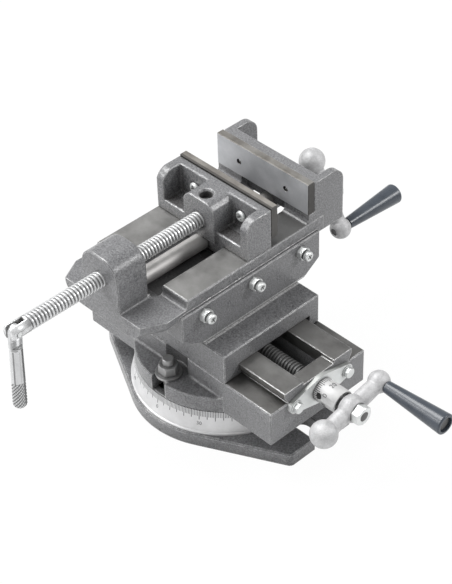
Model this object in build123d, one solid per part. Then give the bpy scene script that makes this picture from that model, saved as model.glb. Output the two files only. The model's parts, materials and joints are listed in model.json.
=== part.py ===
from build123d import *
import os
from math import cos, radians, sin, tan

# Cross slide vise with 100 mm jaws, in millimetres.
# X runs along the lower slide to its crank, Y along the vise to the fixed jaw, Z up.
# The origin is on the swivel axis, on the underside of the base.
# The saddle, the vise and their screws are drawn about x = 0 and moved to vise_x at the end.

# Clearances
way_gap = 0.1
way_top_gap = 0.3
fit = 0.05
bolt_clearance = 0.1
turning_gap = 0.3

# Base
plate_thickness = 11.2
plate_radius = 78.0
plate_edge = 1.2
ear_reach = 106.0
ear_half_width = 35.0
ear_corner = 5.0
ear_slot_half_width = 7.3
ear_slot_depth = 28.3
base_height = 32.0
boss_radius = 70.45
ring_top_radius = 72.0
ring_foot_radius = 75.2
ring_lip = 0.9
ring_lip_height = 2.2
clamp_circle = 60.0
clamp_neck_half_width = 5.3
clamp_neck_depth = 8.0
clamp_groove_half_width = 7.0
clamp_groove_height = 6.5
clamp_entry_radius = 7.2
spigot_radius = 20.0
spigot_depth = 8.0
core_inner_radius = 27.0
core_outer_radius = 46.0
core_depth = 14.0
core_rib = 8.0

# Swivel clamps
stud_radius = 4.6
stud_top = 62.4
stud_head_side = 12.0
stud_head_height = 5.6
clamp_washer_radius = 10.5
clamp_washer_thickness = 2.0
clamp_nut_flats = 14.5
clamp_nut_height = 8.0

# Dovetail ways, the same section on both slides
dovetail_angle = 60.0
dovetail_flank_height = 6.9
lower_land = 4.4
upper_land = 1.6
gib_thickness = 4.4
way_slot_half_width = 16.5
way_bridge = 13.0
bridge_drop = 3.0

# Turntable and lower slide
flange_radius = 72.0
flange_top = 46.7
lower_half_length = 102.4
lower_half_width = 51.0
lower_ledge = 63.6
lower_way_half_width = 36.1
lower_slot_floor = 42.0
notch_half_width = 7.5
scallop_radius = 15.5
foot_fillet = 2.5
casting_edge = 0.9

# Saddle
vise_x = -21.7
saddle_half_length = 75.5
saddle_half_width = 51.0
saddle_top = 90.4
upper_way_half_width = 40.1
upper_way_top = 120.7
upper_slot_floor = 86.0

# Lead screws and their ends
thread_radius = 7.0
journal_radius = 5.0
crank_stud_radius = 4.0
lower_screw_height = 59.3
upper_screw_height = 100.4
thrust_radius = 8.0
thrust_thickness = 3.0
thrust_recess = 3.2
bearing_thickness = 3.5
bearing_centre_radius = 13.0
bearing_end_radius = 6.2
bearing_bolt_offset = 27.3
m5_radius = 2.5
m5_length = 14.0
m5_head_flats = 8.0
m5_head_height = 3.0
m5_washer_radius = 5.2
m5_washer_thickness = 1.0
collar_radius = 10.0
collar_length = 21.6
collar_gap = 0.2
collar_recess_radius = 7.6
collar_recess_depth = 4.0
collar_screw_radius = 2.6
collar_screw_offset = 5.5
collar_screw_recess = 0.6
nut_half_length = 15.0
nut_half_width = 13.0
nut_drop = 10.5
upper_nut_half_length = 12.5
upper_nut_y = 4.0

# Ball cranks
hub_radius = 11.5
hub_flat = 6.7
lower_hub_reach = 33.5
upper_hub_reach = 86.8
lower_crank_angle = 12.6
upper_crank_angle = -122.5
grip_arm = 31.0
weight_arm = 30.0
grip_ball_radius = 9.0
weight_ball_radius = 11.0
arm_hub_radius = 7.2
arm_ball_radius = 6.4
grip_face = 8.2
crank_nut_flats = 14.5
crank_nut_height = 6.5
crank_seat_radius = 8.6
crank_stud_reach = 13.6
grip_length = 57.5
grip_small_radius = 5.0
grip_large_radius = 8.75
grip_recess_radius = 6.25
grip_recess_depth = 5.0
spindle_radius = 3.0
spindle_head_radius = 5.4
spindle_head_height = 2.5

# Gib and nut screws
gib_screw_radius = 3.0
lower_gib_screw_spacing = 50.5
lower_gib_screw_drop = 6.2
upper_gib_screw_start = -49.0
upper_gib_screw_spacing = 51.1
upper_gib_screw_drop = 1.5
gib_nut_flats = 10.0
gib_nut_height = 5.0
gib_screw_gap = 1.0
gib_head_radius = 4.2
gib_head_height = 4.0
nut_screw_radius = 3.0
nut_screw_offset = 8.0
nut_screw_reach = 7.5
nut_screw_head_radius = 5.0
nut_screw_head_height = 6.0
flush_screw_radius = 2.5
flush_head_radius = 4.6
flush_head_height = 2.5

# Vise body
skirt_half_width = 53.6
skirt_front = -71.5
skirt_rear = 74.5
skirt_bottom_gap = 0.3
skirt_front_top = 127.4
skirt_rear_top = 128.0
skirt_front_chamfer = 21.1
skirt_front_chamfer_top = 103.9
skirt_rear_chamfer = 17.5
skirt_rear_chamfer_top = 102.1
band_half_width = 50.6
deck_bottom = 121.0
rail_top = 137.5
rail_front = -62.7
trough_half_width = 24.0
trough_floor = 124.4
trough_rear = 69.0
trough_corner = 6.0
front_face = -102.0
front_half_width = 42.0
shoulder_half_width = 51.4
shoulder_y = -83.5
front_bottom = 115.0
front_corner = 15.0
front_overlap = 5.0
deck_drop = 7.1
deck_fillet = 3.0
boss_half_width = 19.9
boss_corner = 15.0
boss_rise = 37.1
boss_rear = -72.0
boss_rear_corner = 3.5
boss_fillet = 2.0
screw_rise = 16.0
jaw_half_width = 50.0
jaw_rise = 36.8
casting_drop = 1.5
wall_front = 71.8
wall_rear = 82.0
wall_underside = 132.0
jaw_foot_front = 65.8
jaw_foot_fillet = 4.0
rib_thickness = 6.0
rib_rear = 103.6
rib_rear_bottom = 123.2
rib_front_bottom = 123.6
rib_corner = 12.0
jaw_plate_thickness = 6.7
jaw_plate_rise = 7.9
jaw_screw_offset = 25.5
jaw_screw_rise = 13.1
jaw_screw_radius = 2.4
jaw_screw_head_radius = 4.6
jaw_screw_head_height = 3.0
jaw_screw_stop = 1.2
bar_radius = 6.8
bar_drop = 6.1
bar_socket = 12.0
bar_boss_radius = 9.6
bar_end_gap = 0.5

# Movable jaw
jaw_front = -0.5
jaw_back = 25.4
jaw_slab_thickness = 9.0
jaw_slab_fillet = 3.0
jaw_wall_thickness = 6.8
jaw_rib_thickness = 8.0
jaw_rib_corner = 12.0
jaw_boss_half_width = 15.5
jaw_boss_front = -5.0
jaw_boss_shoulder = 6.5
keel_gap = 0.2
keel_bottom = 126.2
jaw_screw_socket = 14.3
top_hole_radius = 5.2
top_hole_y = 6.0
top_hole_sink = 1.2

# Vise screw and handle
vise_thread_radius = 6.5
vise_screw_end = 14.0
fork_root = -170.0
fork_end = -187.3
fork_slot_half_width = 2.3
fork_slot_root = -172.5
pivot_y = -181.5
pin_radius = 2.0
neck_radius = 4.6
neck_half_length = 2.5
grub_radius = 5.1
grub_start = 7.5
grub_length = 5.5
grub_tip_radius = 1.9
tongue_half_thickness = 2.0
tongue_half_width = 5.0
tongue_length = 13.5
handle_radius = 5.0
handle_length = 72.5
handle_groove_start = 15.0
handle_groove_end = 48.5
handle_groove_width = 4.0
handle_groove_depth = 0.8

# Heights and lengths that follow from the values above
flank_run = dovetail_flank_height / tan(radians(dovetail_angle))
lower_way_top = lower_ledge + dovetail_flank_height + lower_land
saddle_bottom = lower_ledge + way_gap
swivel_face = base_height + way_gap
lower_hub = lower_half_length + lower_hub_reach
upper_hub = saddle_half_width + upper_hub_reach
deck_height = rail_top - deck_drop
screw_height = rail_top + screw_rise
jaw_top = rail_top + jaw_rise
casting_top = jaw_top - casting_drop
jaw_plate_bottom = rail_top + jaw_plate_rise
jaw_screw_height = jaw_plate_bottom + jaw_screw_rise
bar_height = rail_top - bar_drop
movable_plate_front = jaw_back + jaw_plate_thickness
fixed_plate_front = wall_front - jaw_plate_thickness
lower_gib_screws_x = [-lower_gib_screw_spacing, 0.0, lower_gib_screw_spacing]
upper_gib_screws_y = [upper_gib_screw_start + step * upper_gib_screw_spacing for step in range(3)]
standing = (Align.CENTER, Align.CENTER, Align.MIN)


def block(x0, x1, y0, y1, z0, z1):
    centre = Pos((x0 + x1) / 2, (y0 + y1) / 2, (z0 + z1) / 2)
    return centre * Box(x1 - x0, y1 - y0, z1 - z0)


def prism_x(points, x0, x1):
    """A profile of (y, z) points pushed along X."""
    return extrude(Plane.YZ.offset(x0) * Polygon(*points, align=None), x1 - x0, dir=(1, 0, 0))


def prism_y(points, y0, y1):
    """A profile of (x, z) points pushed along Y."""
    return extrude(Plane.XZ.offset(-y0) * Polygon(*points, align=None), y1 - y0, dir=(0, 1, 0))


def prism_z(points, z0, z1):
    """A profile of (x, y) points pushed along Z."""
    return extrude(Plane.XY.offset(z0) * Polygon(*points, align=None), z1 - z0, dir=(0, 0, 1))


def rod_x(radius, x0, x1, y=0.0, z=0.0):
    return Pos((x0 + x1) / 2, y, z) * Rot(0, 90, 0) * Cylinder(radius, x1 - x0)


def rod_y(radius, y0, y1, x=0.0, z=0.0):
    return Pos(x, (y0 + y1) / 2, z) * Rot(90, 0, 0) * Cylinder(radius, y1 - y0)


def rod_z(radius, z0, z1, x=0.0, y=0.0):
    return Pos(x, y, (z0 + z1) / 2) * Cylinder(radius, z1 - z0)


def hexagon(flats, height):
    """A hexagon head or nut standing on z = 0, with its corners turned down."""
    prism = extrude(RegularPolygon(flats / 2, 6, major_radius=False), height)
    crown = Pos(0, 0, height / 2) * Cylinder(flats / 2 * 1.12, height)
    return prism & chamfer(crown.edges().sort_by(Axis.Z)[-1], height * 0.12)


def along_x(shape, x, y=0.0, z=0.0):
    """A shape drawn up from z = 0, laid over to point along X from x."""
    return Pos(x, y, z) * Rot(0, 90, 0) * shape


def along_y(shape, y, x=0.0, z=0.0):
    """A shape drawn up from z = 0, laid over to point along Y from y."""
    return Pos(x, y, z) * Rot(-90, 0, 0) * shape


def way_section(half_width, land, bottom, top):
    """The raised dovetail, as points across and up."""
    corner = top - land
    foot = corner - dovetail_flank_height
    foot_half = half_width - flank_run
    right = [(foot_half, bottom), (foot_half, foot), (half_width, corner), (half_width, top)]
    left = [(-across, up) for across, up in reversed(right)]
    return right + left


def way_pocket(half_width, land, bottom, top):
    """The hollow that runs on the dovetail, with room for the gib on its positive side."""
    corner = top - land
    foot = corner - dovetail_flank_height
    foot_half = half_width - flank_run + way_gap
    side = half_width + way_gap
    roof = top + way_top_gap
    gib_side = [(foot_half, bottom), (foot_half, foot), (foot_half + gib_thickness, foot),
                (side + gib_thickness, corner), (side + gib_thickness, roof)]
    plain_side = [(-side, roof), (-side, corner), (-foot_half, foot), (-foot_half, bottom)]
    return gib_side + plain_side


def gib_section(half_width, land, top):
    """The strip between the dovetail's flank and the pocket's flank."""
    corner = top - land
    foot = corner - dovetail_flank_height + way_top_gap
    lift = way_top_gap / tan(radians(dovetail_angle))
    inner_foot = half_width - flank_run + way_gap + lift
    inner_top = half_width + way_gap
    return [(inner_foot, foot), (inner_top, corner),
            (inner_top + gib_thickness, corner), (inner_foot + gib_thickness, foot)]


def eased(shape, size=casting_edge):
    """Every edge of a plain block broken by a small bevel."""
    return chamfer(shape.edges(), size)


def hollow_corner(x0, x1, wall, floor, radius):
    """The concave fillet along X where a floor meets a wall that rises behind it."""
    square = block(x0, x1, wall - radius, wall + 1, floor - 1, floor + radius)
    return square - rod_x(radius, x0, x1, wall - radius, floor + radius)


# Base casting
def base_plate():
    corner_x = ear_reach - ear_corner
    corner_y = ear_half_width - ear_corner
    circles = Sketch() + Circle(plate_radius)
    circles += [Pos(x, y) * Circle(ear_corner) for x in (-corner_x, corner_x) for y in (-corner_y, corner_y)]
    plate = extrude(make_hull(circles.edges()), plate_thickness)
    for side in (-1, 1):
        centre = side * (ear_reach - ear_slot_depth + ear_slot_half_width)
        plate -= rod_z(ear_slot_half_width, 0, plate_thickness, centre)
        ends = sorted((centre, side * (ear_reach + 1)))
        plate -= block(*ends, -ear_slot_half_width, ear_slot_half_width, 0, plate_thickness)
    plate = chamfer(plate.faces().sort_by(Axis.Z)[-1].edges(), plate_edge)
    return plate + rod_z(boss_radius, 0, base_height)


def clamp_groove():
    neck = clamp_neck_half_width
    head = clamp_groove_half_width
    roof = base_height - clamp_neck_depth
    floor = roof - clamp_groove_height
    section = Polygon((clamp_circle - neck, base_height), (clamp_circle - neck, roof),
                      (clamp_circle - head, roof), (clamp_circle - head, floor),
                      (clamp_circle + head, floor), (clamp_circle + head, roof),
                      (clamp_circle + neck, roof), (clamp_circle + neck, base_height), align=None)
    return revolve(Plane.XZ * section, Axis.Z)


def base_core():
    """The hollow under the boss, crossed by four ribs."""
    core = rod_z(core_outer_radius, 0, core_depth) - rod_z(core_inner_radius, 0, core_depth)
    core -= block(-core_outer_radius, core_outer_radius, -core_rib / 2, core_rib / 2, 0, core_depth)
    core -= block(-core_rib / 2, core_rib / 2, -core_outer_radius, core_outer_radius, 0, core_depth)
    return core


def base_casting():
    base = base_plate() - clamp_groove() - base_core()
    entry_floor = base_height - clamp_neck_depth - clamp_groove_height
    base -= rod_z(clamp_entry_radius, entry_floor, base_height, clamp_circle)
    return base - rod_z(spigot_radius + fit, base_height - spigot_depth, base_height)


def degree_ring():
    bore = boss_radius + fit
    lip = ring_foot_radius + ring_lip
    lip_top = plate_thickness + ring_lip_height
    section = Polygon((bore, plate_thickness), (lip, plate_thickness), (lip, lip_top - 0.6),
                      (ring_foot_radius, lip_top), (ring_top_radius, base_height), (bore, base_height),
                      align=None)
    return revolve(Plane.XZ * section, Axis.Z)


# Turntable casting with the lower slide
def foot_strip(side):
    """The concave fillet where the slide's side meets the flange."""
    face = side * lower_half_width
    out = face + side * foot_fillet
    square = block(-flange_radius, flange_radius, *sorted((face, out)), flange_top, flange_top + foot_fillet)
    strip = square - rod_x(foot_fillet, -flange_radius, flange_radius, out, flange_top + foot_fillet)
    return strip & rod_z(flange_radius, flange_top, flange_top + foot_fillet)


def lower_slide_block():
    body = eased(block(-lower_half_length, lower_half_length, -lower_half_width, lower_half_width,
                       swivel_face, lower_ledge))
    way = way_section(lower_way_half_width, lower_land, lower_ledge - 1, lower_way_top)
    return body + prism_x(way, -lower_half_length, lower_half_length)


def lower_screw_slot():
    inner = lower_half_length - way_bridge
    slot = block(-inner, inner, -way_slot_half_width, way_slot_half_width, lower_slot_floor, lower_way_top)
    slot += block(-lower_half_length, lower_half_length, -way_slot_half_width, way_slot_half_width,
                  lower_way_top - bridge_drop, lower_way_top)
    return slot


def screw_bores(end_face, far_face):
    """Bores for a lead screw along X: thrust shoulder, bridge bore, far bearing, plate bolts."""
    bores = rod_x(thrust_radius + turning_gap, end_face - thrust_recess, end_face)
    bores += rod_x(thread_radius + fit, end_face - way_bridge, end_face)
    bores += rod_x(journal_radius + fit, far_face, far_face + way_bridge)
    for side in (-1, 1):
        bores += rod_x(m5_radius + bolt_clearance, end_face - m5_length, end_face, side * bearing_bolt_offset)
    return bores


def lower_slide():
    flange = eased(rod_z(flange_radius, swivel_face, flange_top), 0.7)
    slide = flange + lower_slide_block() + foot_strip(-1) + foot_strip(1)
    slide -= lower_screw_slot()
    slide -= Pos(0, 0, lower_screw_height) * screw_bores(lower_half_length, -lower_half_length)
    for side in (-1, 1):
        y = side * clamp_circle
        slide -= rod_z(scallop_radius, flange_top, lower_way_top, 0, y)
        slide -= rod_z(notch_half_width, swivel_face, flange_top, 0, y)
        slide -= block(-notch_half_width, notch_half_width, *sorted((y, side * (flange_radius + 1))),
                       swivel_face, flange_top)
    return slide + rod_z(spigot_radius, base_height - spigot_depth + way_gap, swivel_face)


# Swivel clamps
def clamp_studs():
    roof = base_height - clamp_neck_depth - turning_gap
    half = stud_head_side / 2
    studs = []
    for side in (-1, 1):
        y = side * clamp_circle
        head = block(-half, half, y - half, y + half, roof - stud_head_height, roof)
        shank = rod_z(stud_radius, roof - 1, stud_top, 0, y)
        studs.append(head + chamfer(shank.edges().sort_by(Axis.Z)[-1], 0.6))
    return Compound(studs)


def clamp_washers():
    top = flange_top + clamp_washer_thickness
    washers = []
    for side in (-1, 1):
        disc = rod_z(clamp_washer_radius, flange_top, top, 0, side * clamp_circle)
        washers.append(disc - rod_z(stud_radius + bolt_clearance, flange_top, top, 0, side * clamp_circle))
    return Compound(washers)


def clamp_nuts():
    bottom = flange_top + clamp_washer_thickness
    nuts = []
    for side in (-1, 1):
        nut = Pos(0, side * clamp_circle, bottom) * hexagon(clamp_nut_flats, clamp_nut_height)
        nuts.append(nut - rod_z(stud_radius + fit, bottom, bottom + clamp_nut_height, 0, side * clamp_circle))
    return Compound(nuts)


# Screw ends, drawn along X with the seat of the bearing plate at x = face
def bearing_plate(face):
    circles = Sketch() + Circle(bearing_centre_radius)
    circles += [Pos(0, y) * Circle(bearing_end_radius) for y in (-bearing_bolt_offset, bearing_bolt_offset)]
    plate = along_x(extrude(make_hull(circles.edges()), bearing_thickness), face)
    plate -= rod_x(journal_radius + fit, face, face + bearing_thickness)
    for side in (-1, 1):
        plate -= rod_x(m5_radius + bolt_clearance, face, face + bearing_thickness, side * bearing_bolt_offset)
    return plate


def plate_bolts(face):
    seat = face + bearing_thickness
    bolts = []
    for side in (-1, 1):
        y = side * bearing_bolt_offset
        bolt = rod_x(m5_radius, face - m5_length + 1, seat + m5_washer_thickness + 1, y)
        bolt += rod_x(m5_washer_radius, seat, seat + m5_washer_thickness, y)
        bolt += along_x(hexagon(m5_head_flats, m5_head_height), seat + m5_washer_thickness, y)
        bolts.append(bolt)
    return Compound(bolts)


def lead_screw(face, far_face, hub):
    """The shaft from the far bearing to the stud that carries the crank nut."""
    screw = rod_x(journal_radius, far_face + 1, far_face + way_bridge + 2)
    screw += rod_x(thread_radius, far_face + way_bridge + 1, face - thrust_thickness)
    screw += rod_x(thrust_radius, face - thrust_thickness - way_gap, face - way_gap)
    screw += rod_x(journal_radius, face - 1, hub + hub_flat - 1)
    stud = rod_x(crank_stud_radius, hub + hub_flat - 2, hub + crank_stud_reach)
    return screw + chamfer(stud.edges().sort_by(Axis.X)[-1], 0.8)


def dial_collar(face):
    start = face + bearing_thickness + collar_gap
    collar = chamfer(rod_x(collar_radius, start, start + collar_length).edges(), 0.5)
    collar -= rod_x(journal_radius + fit, start, start + collar_length)
    collar -= rod_x(collar_recess_radius, start + collar_length - collar_recess_depth, start + collar_length)
    hole = rod_z(collar_screw_radius + fit, journal_radius, collar_radius + 1, start + collar_screw_offset)
    return collar - Rot(collar_screw_turn, 0, 0) * hole


def dial_set_screw(face):
    x = face + bearing_thickness + collar_gap + collar_screw_offset
    screw = rod_z(collar_screw_radius, journal_radius + fit, collar_radius - collar_screw_recess, x)
    return Rot(collar_screw_turn, 0, 0) * screw


def ball_crank(hub, angle):
    """Hub, counterweight and grip ball in the plane x = hub, the grip side at angle from Y."""
    crank = Sphere(hub_radius) & rod_x(hub_radius, -hub_flat, hub_flat)
    crank += along_y(Cone(arm_hub_radius, arm_ball_radius, grip_arm, align=standing), 0)
    crank += Rot(180, 0, 0) * along_y(Cone(arm_hub_radius, arm_ball_radius, weight_arm, align=standing), 0)
    crank += Pos(0, -weight_arm, 0) * Sphere(weight_ball_radius)
    grip_ball = Sphere(grip_ball_radius) & rod_x(grip_ball_radius, -grip_ball_radius, grip_face)
    crank += Pos(0, grip_arm, 0) * grip_ball
    crank -= rod_x(journal_radius + fit, -hub_radius, hub_radius)
    crank -= rod_x(crank_seat_radius, hub_flat, hub_radius)
    crank -= rod_x(spindle_radius + fit, -grip_ball_radius, grip_ball_radius, grip_arm)
    return Pos(hub, 0, 0) * Rot(angle, 0, 0) * crank


def crank_nut(hub):
    start = hub + hub_flat
    nut = along_x(hexagon(crank_nut_flats, crank_nut_height), start)
    return nut - rod_x(crank_stud_radius + fit, start, start + crank_nut_height)


def grip_spindle(hub, angle):
    """The screw that the grip turns on, with its head in the grip's end."""
    start = grip_face + turning_gap
    head = start + grip_length - grip_recess_depth + turning_gap
    spindle = rod_x(spindle_radius, -grip_ball_radius + 1.5, head + 1, grip_arm)
    spindle += rod_x(spindle_head_radius, head, head + spindle_head_height, grip_arm)
    return Pos(hub, 0, 0) * Rot(angle, 0, 0) * spindle


def crank_grip(hub, angle):
    start = grip_face + turning_gap
    end = start + grip_length
    grip = along_x(Cone(grip_small_radius, grip_large_radius, grip_length, align=standing), start, grip_arm)
    grip = fillet(grip.edges().sort_by(Axis.X)[-1], 1.2)
    grip -= rod_x(spindle_radius + fit, start, end, grip_arm)
    grip -= rod_x(grip_recess_radius, end - grip_recess_depth, end, grip_arm)
    return Pos(hub, 0, 0) * Rot(angle, 0, 0) * grip


# Saddle casting
def cross_saddle():
    saddle = eased(block(-saddle_half_length, saddle_half_length, -saddle_half_width, saddle_half_width,
                         saddle_bottom, saddle_top))
    way = way_section(upper_way_half_width, upper_land, saddle_top - 1, upper_way_top)
    saddle += prism_y(way, -saddle_half_width, saddle_half_width)
    pocket = way_pocket(lower_way_half_width, lower_land, lower_ledge, lower_way_top)
    saddle -= prism_x(pocket, -saddle_half_length, saddle_half_length)
    inner = saddle_half_width - way_bridge
    saddle -= block(-way_slot_half_width, way_slot_half_width, -inner, inner, upper_slot_floor, upper_way_top)
    saddle -= upper_place * screw_bores(saddle_half_width, -saddle_half_width)
    web_bottom = lower_way_top + way_top_gap
    for side in (-1, 1):
        x = side * nut_screw_offset
        saddle -= rod_z(nut_screw_radius + bolt_clearance, web_bottom, upper_slot_floor, x)
        saddle -= rod_z(nut_screw_head_radius + bolt_clearance, upper_slot_floor - nut_screw_head_height,
                        upper_slot_floor, x)
    for x in lower_gib_screws_x:
        saddle -= rod_y(gib_screw_radius + fit, lower_way_half_width, saddle_half_width, x,
                        lower_way_top - lower_gib_screw_drop)
    return saddle


def lower_lead_nut():
    top = lower_way_top + way_top_gap
    nut = eased(block(-nut_half_length, nut_half_length, -nut_half_width, nut_half_width,
                      lower_screw_height - nut_drop, top), 0.6)
    nut -= rod_x(thread_radius + fit, -nut_half_length, nut_half_length, 0, lower_screw_height)
    for side in (-1, 1):
        nut -= rod_z(nut_screw_radius + fit, top - nut_screw_reach, top, side * nut_screw_offset)
    return nut


def lower_nut_screws():
    top = upper_slot_floor
    bottom = lower_way_top + way_top_gap - nut_screw_reach + 0.5
    screws = []
    for side in (-1, 1):
        x = side * nut_screw_offset
        screw = rod_z(nut_screw_radius, bottom, top - 1, x)
        screws.append(screw + rod_z(nut_screw_head_radius, top - nut_screw_head_height, top, x))
    return Compound(screws)


def lower_gib():
    section = gib_section(lower_way_half_width, lower_land, lower_way_top)
    return prism_x(section, -saddle_half_length + 2, saddle_half_length - 2)


def gib_screw(tip, face):
    """One adjusting screw along X, from the gib to its head outside the face."""
    head = face + gib_nut_height + gib_screw_gap
    screw = rod_x(gib_screw_radius, tip, head + 1)
    knob = fillet(rod_x(gib_head_radius, head, head + gib_head_height).edges().sort_by(Axis.X)[-1], 1.4)
    return screw + knob


def gib_lock_nut(face):
    nut = along_x(hexagon(gib_nut_flats, gib_nut_height), face)
    return nut - rod_x(gib_screw_radius + fit, face, face + gib_nut_height)


def upper_gib_places():
    height = upper_way_top - upper_gib_screw_drop
    return [Pos(0, y, height) for y in upper_gib_screws_y]


def lower_gib_places():
    height = lower_way_top - lower_gib_screw_drop
    return [Pos(x, 0, height) * Rot(0, 0, 90) for x in lower_gib_screws_x]


# Vise body casting
def body_skirts():
    bottom = saddle_top + skirt_bottom_gap
    side = [(skirt_front, skirt_front_chamfer_top), (skirt_front + skirt_front_chamfer, bottom),
            (skirt_rear - skirt_rear_chamfer, bottom), (skirt_rear, skirt_rear_chamfer_top),
            (skirt_rear, skirt_rear_top), (skirt_front, skirt_front_top)]
    return eased(prism_x(side, -skirt_half_width, skirt_half_width))


def front_block():
    """The front end in plan, with its long lower edges rounded, up to the deck."""
    rear = rail_front + front_overlap
    plan = [(-front_half_width, front_face), (front_half_width, front_face),
            (shoulder_half_width, shoulder_y), (band_half_width, rear),
            (-band_half_width, rear), (-shoulder_half_width, shoulder_y)]
    solid = prism_z(plan, front_bottom, rail_top)
    low = solid.faces().sort_by(Axis.Z)[0].edges()
    solid = fillet(low.filter_by(Axis.X, reverse=True), front_corner)
    top = block(-shoulder_half_width, shoulder_half_width, front_face, rear, deck_height, rail_top)
    return solid - top


def screw_boss():
    """The upright boss for the vise screw, with the fillets at its foot."""
    top = rail_top + boss_rise
    bottom = deck_height - 1
    profile = block(-boss_half_width, boss_half_width, front_face, boss_rear, bottom, top)
    boss = fillet(profile.edges().filter_by(Axis.Y).sort_by(Axis.Z)[-2:], boss_corner)
    rear = boss.faces().sort_by(Axis.Y)[-1].edges()
    boss = fillet(rear.sort_by(Axis.Z)[1:], boss_rear_corner)
    front = boss.faces().sort_by(Axis.Y)[0].edges()
    boss = chamfer(front.sort_by(Axis.Z)[1:], casting_edge)
    foot = hollow_corner(front_face, boss_rear, -boss_half_width, deck_height, boss_fillet)
    boss += Rot(0, 0, -90) * hollow_corner(-boss_rear, -front_face, -boss_half_width, deck_height, boss_fillet)
    return boss + Rot(0, 0, 90) * foot


def body_deck():
    """Rails, the floor between them and the foot of the fixed jaw."""
    deck = eased(block(-band_half_width, band_half_width, rail_front, wall_rear, rib_front_bottom, rail_top))
    deck += block(-band_half_width, band_half_width, rail_front, skirt_rear, deck_bottom, rail_top - 2)
    deck += hollow_corner(-band_half_width, band_half_width, rail_front, deck_height, deck_fillet)
    foot = block(-jaw_half_width, jaw_half_width, jaw_foot_front, wall_front + 1, rail_top - 1, jaw_plate_bottom)
    return deck + foot + hollow_corner(-jaw_half_width, jaw_half_width, jaw_foot_front, rail_top, jaw_foot_fillet)


def fixed_jaw_wall():
    wall = eased(block(-jaw_half_width, jaw_half_width, wall_front, wall_rear, rib_front_bottom, casting_top))
    front = wall_front + 2
    side = [(front, rib_front_bottom), (rib_rear, rib_rear_bottom), (rib_rear, casting_top), (front, casting_top)]
    for sign in (-1, 1):
        edges = sorted((sign * jaw_half_width, sign * (jaw_half_width - rib_thickness)))
        rib = prism_x(side, *edges)
        corner = rib.edges().filter_by(Axis.X).sort_by(Axis.Y)[-2:].sort_by(Axis.Z)[-1]
        wall += fillet(corner, rib_corner)
    return wall


def body_trough():
    """The channel between the rails, open underneath behind its floor."""
    half = trough_half_width
    trough = block(-half, half, boss_rear, wall_front, trough_floor, rail_top + jaw_plate_rise)
    corners = trough.edges().filter_by(Axis.Z).sort_by(Axis.Y)[:2]
    trough = fillet(corners, trough_corner)
    trough += block(-half, half, trough_rear, wall_front + 1, upper_way_top, trough_floor + 1)
    return trough + block(-half, half, wall_front - 1, rib_rear, upper_way_top, wall_underside)


def vise_body():
    body = body_skirts() + front_block() + body_deck() + fixed_jaw_wall()
    body -= body_trough()
    body += screw_boss()
    body += rod_y(bar_boss_radius, wall_front, wall_rear, 0, bar_height)
    pocket = way_pocket(upper_way_half_width, upper_land, saddle_top, upper_way_top)
    body -= prism_y(pocket, skirt_front, rib_rear)
    body -= rod_y(vise_thread_radius + fit, front_face, boss_rear, 0, screw_height)
    body -= rod_y(bar_radius + fit, boss_rear - bar_socket, wall_rear, 0, bar_height)
    for side in (-1, 1):
        body -= rod_y(jaw_screw_radius + bolt_clearance, wall_front, wall_rear, side * jaw_screw_offset,
                      jaw_screw_height)
    for y in upper_gib_screws_y:
        body -= rod_x(gib_screw_radius + fit, upper_way_half_width, skirt_half_width, y,
                      upper_way_top - upper_gib_screw_drop)
    for x, y in upper_nut_screw_places():
        body -= Pos(x, y, trough_floor) * flush_screw(bolt_clearance, trough_floor - upper_way_top)
    return body


def flush_screw(extra, length):
    """A countersunk screw hanging down from z = 0."""
    head_height = flush_head_height
    head = Pos(0, 0, -head_height / 2) * Cone(flush_screw_radius + extra, flush_head_radius + extra, head_height)
    return head + rod_z(flush_screw_radius + extra, -length, 0)


def upper_nut_screw_places():
    offset = nut_screw_offset
    return [(x, upper_nut_y + y) for x in (-offset, offset) for y in (-offset, offset)]


def upper_lead_nut():
    top = upper_way_top + way_top_gap
    nut = eased(block(-nut_half_width, nut_half_width, upper_nut_y - upper_nut_half_length,
                      upper_nut_y + upper_nut_half_length, upper_screw_height - nut_drop, top), 0.6)
    nut -= rod_y(thread_radius + fit, upper_nut_y - upper_nut_half_length,
                 upper_nut_y + upper_nut_half_length, 0, upper_screw_height)
    for x, y in upper_nut_screw_places():
        nut -= rod_z(flush_screw_radius + fit, top - nut_screw_reach, top, x, y)
    return nut


def upper_nut_screws():
    length = trough_floor - upper_way_top - way_top_gap + nut_screw_reach - 0.5
    return Compound([Pos(x, y, trough_floor) * flush_screw(0, length) for x, y in upper_nut_screw_places()])


def upper_gib():
    section = gib_section(upper_way_half_width, upper_land, upper_way_top)
    return prism_y(section, skirt_front + 2, skirt_rear - 2)


def guide_bar():
    return rod_y(bar_radius, boss_rear - bar_socket + bar_end_gap, wall_rear - bar_end_gap, 0, bar_height)


# Jaw plates
def jaw_plate(front, back):
    plate = eased(block(-jaw_half_width, jaw_half_width, front, back, jaw_plate_bottom, jaw_top), 0.4)
    for side in (-1, 1):
        plate -= rod_y(jaw_screw_radius + fit, front, back, side * jaw_screw_offset, jaw_screw_height)
    return plate


def jaw_screws(seat, tip):
    """Two round-headed screws along Y from their seat towards the tip."""
    outward = 1 if seat > tip else -1
    screws = []
    for side in (-1, 1):
        x = side * jaw_screw_offset
        head_ends = sorted((seat, seat + outward * jaw_screw_head_height))
        head = rod_y(jaw_screw_head_radius, *head_ends, x, jaw_screw_height)
        rim = head.edges().sort_by(Axis.Y)[-1 if outward > 0 else 0]
        shank = rod_y(jaw_screw_radius, *sorted((seat + outward, tip)), x, jaw_screw_height)
        screws.append(fillet(rim, 1.6) + shank)
    return Compound(screws)


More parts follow.
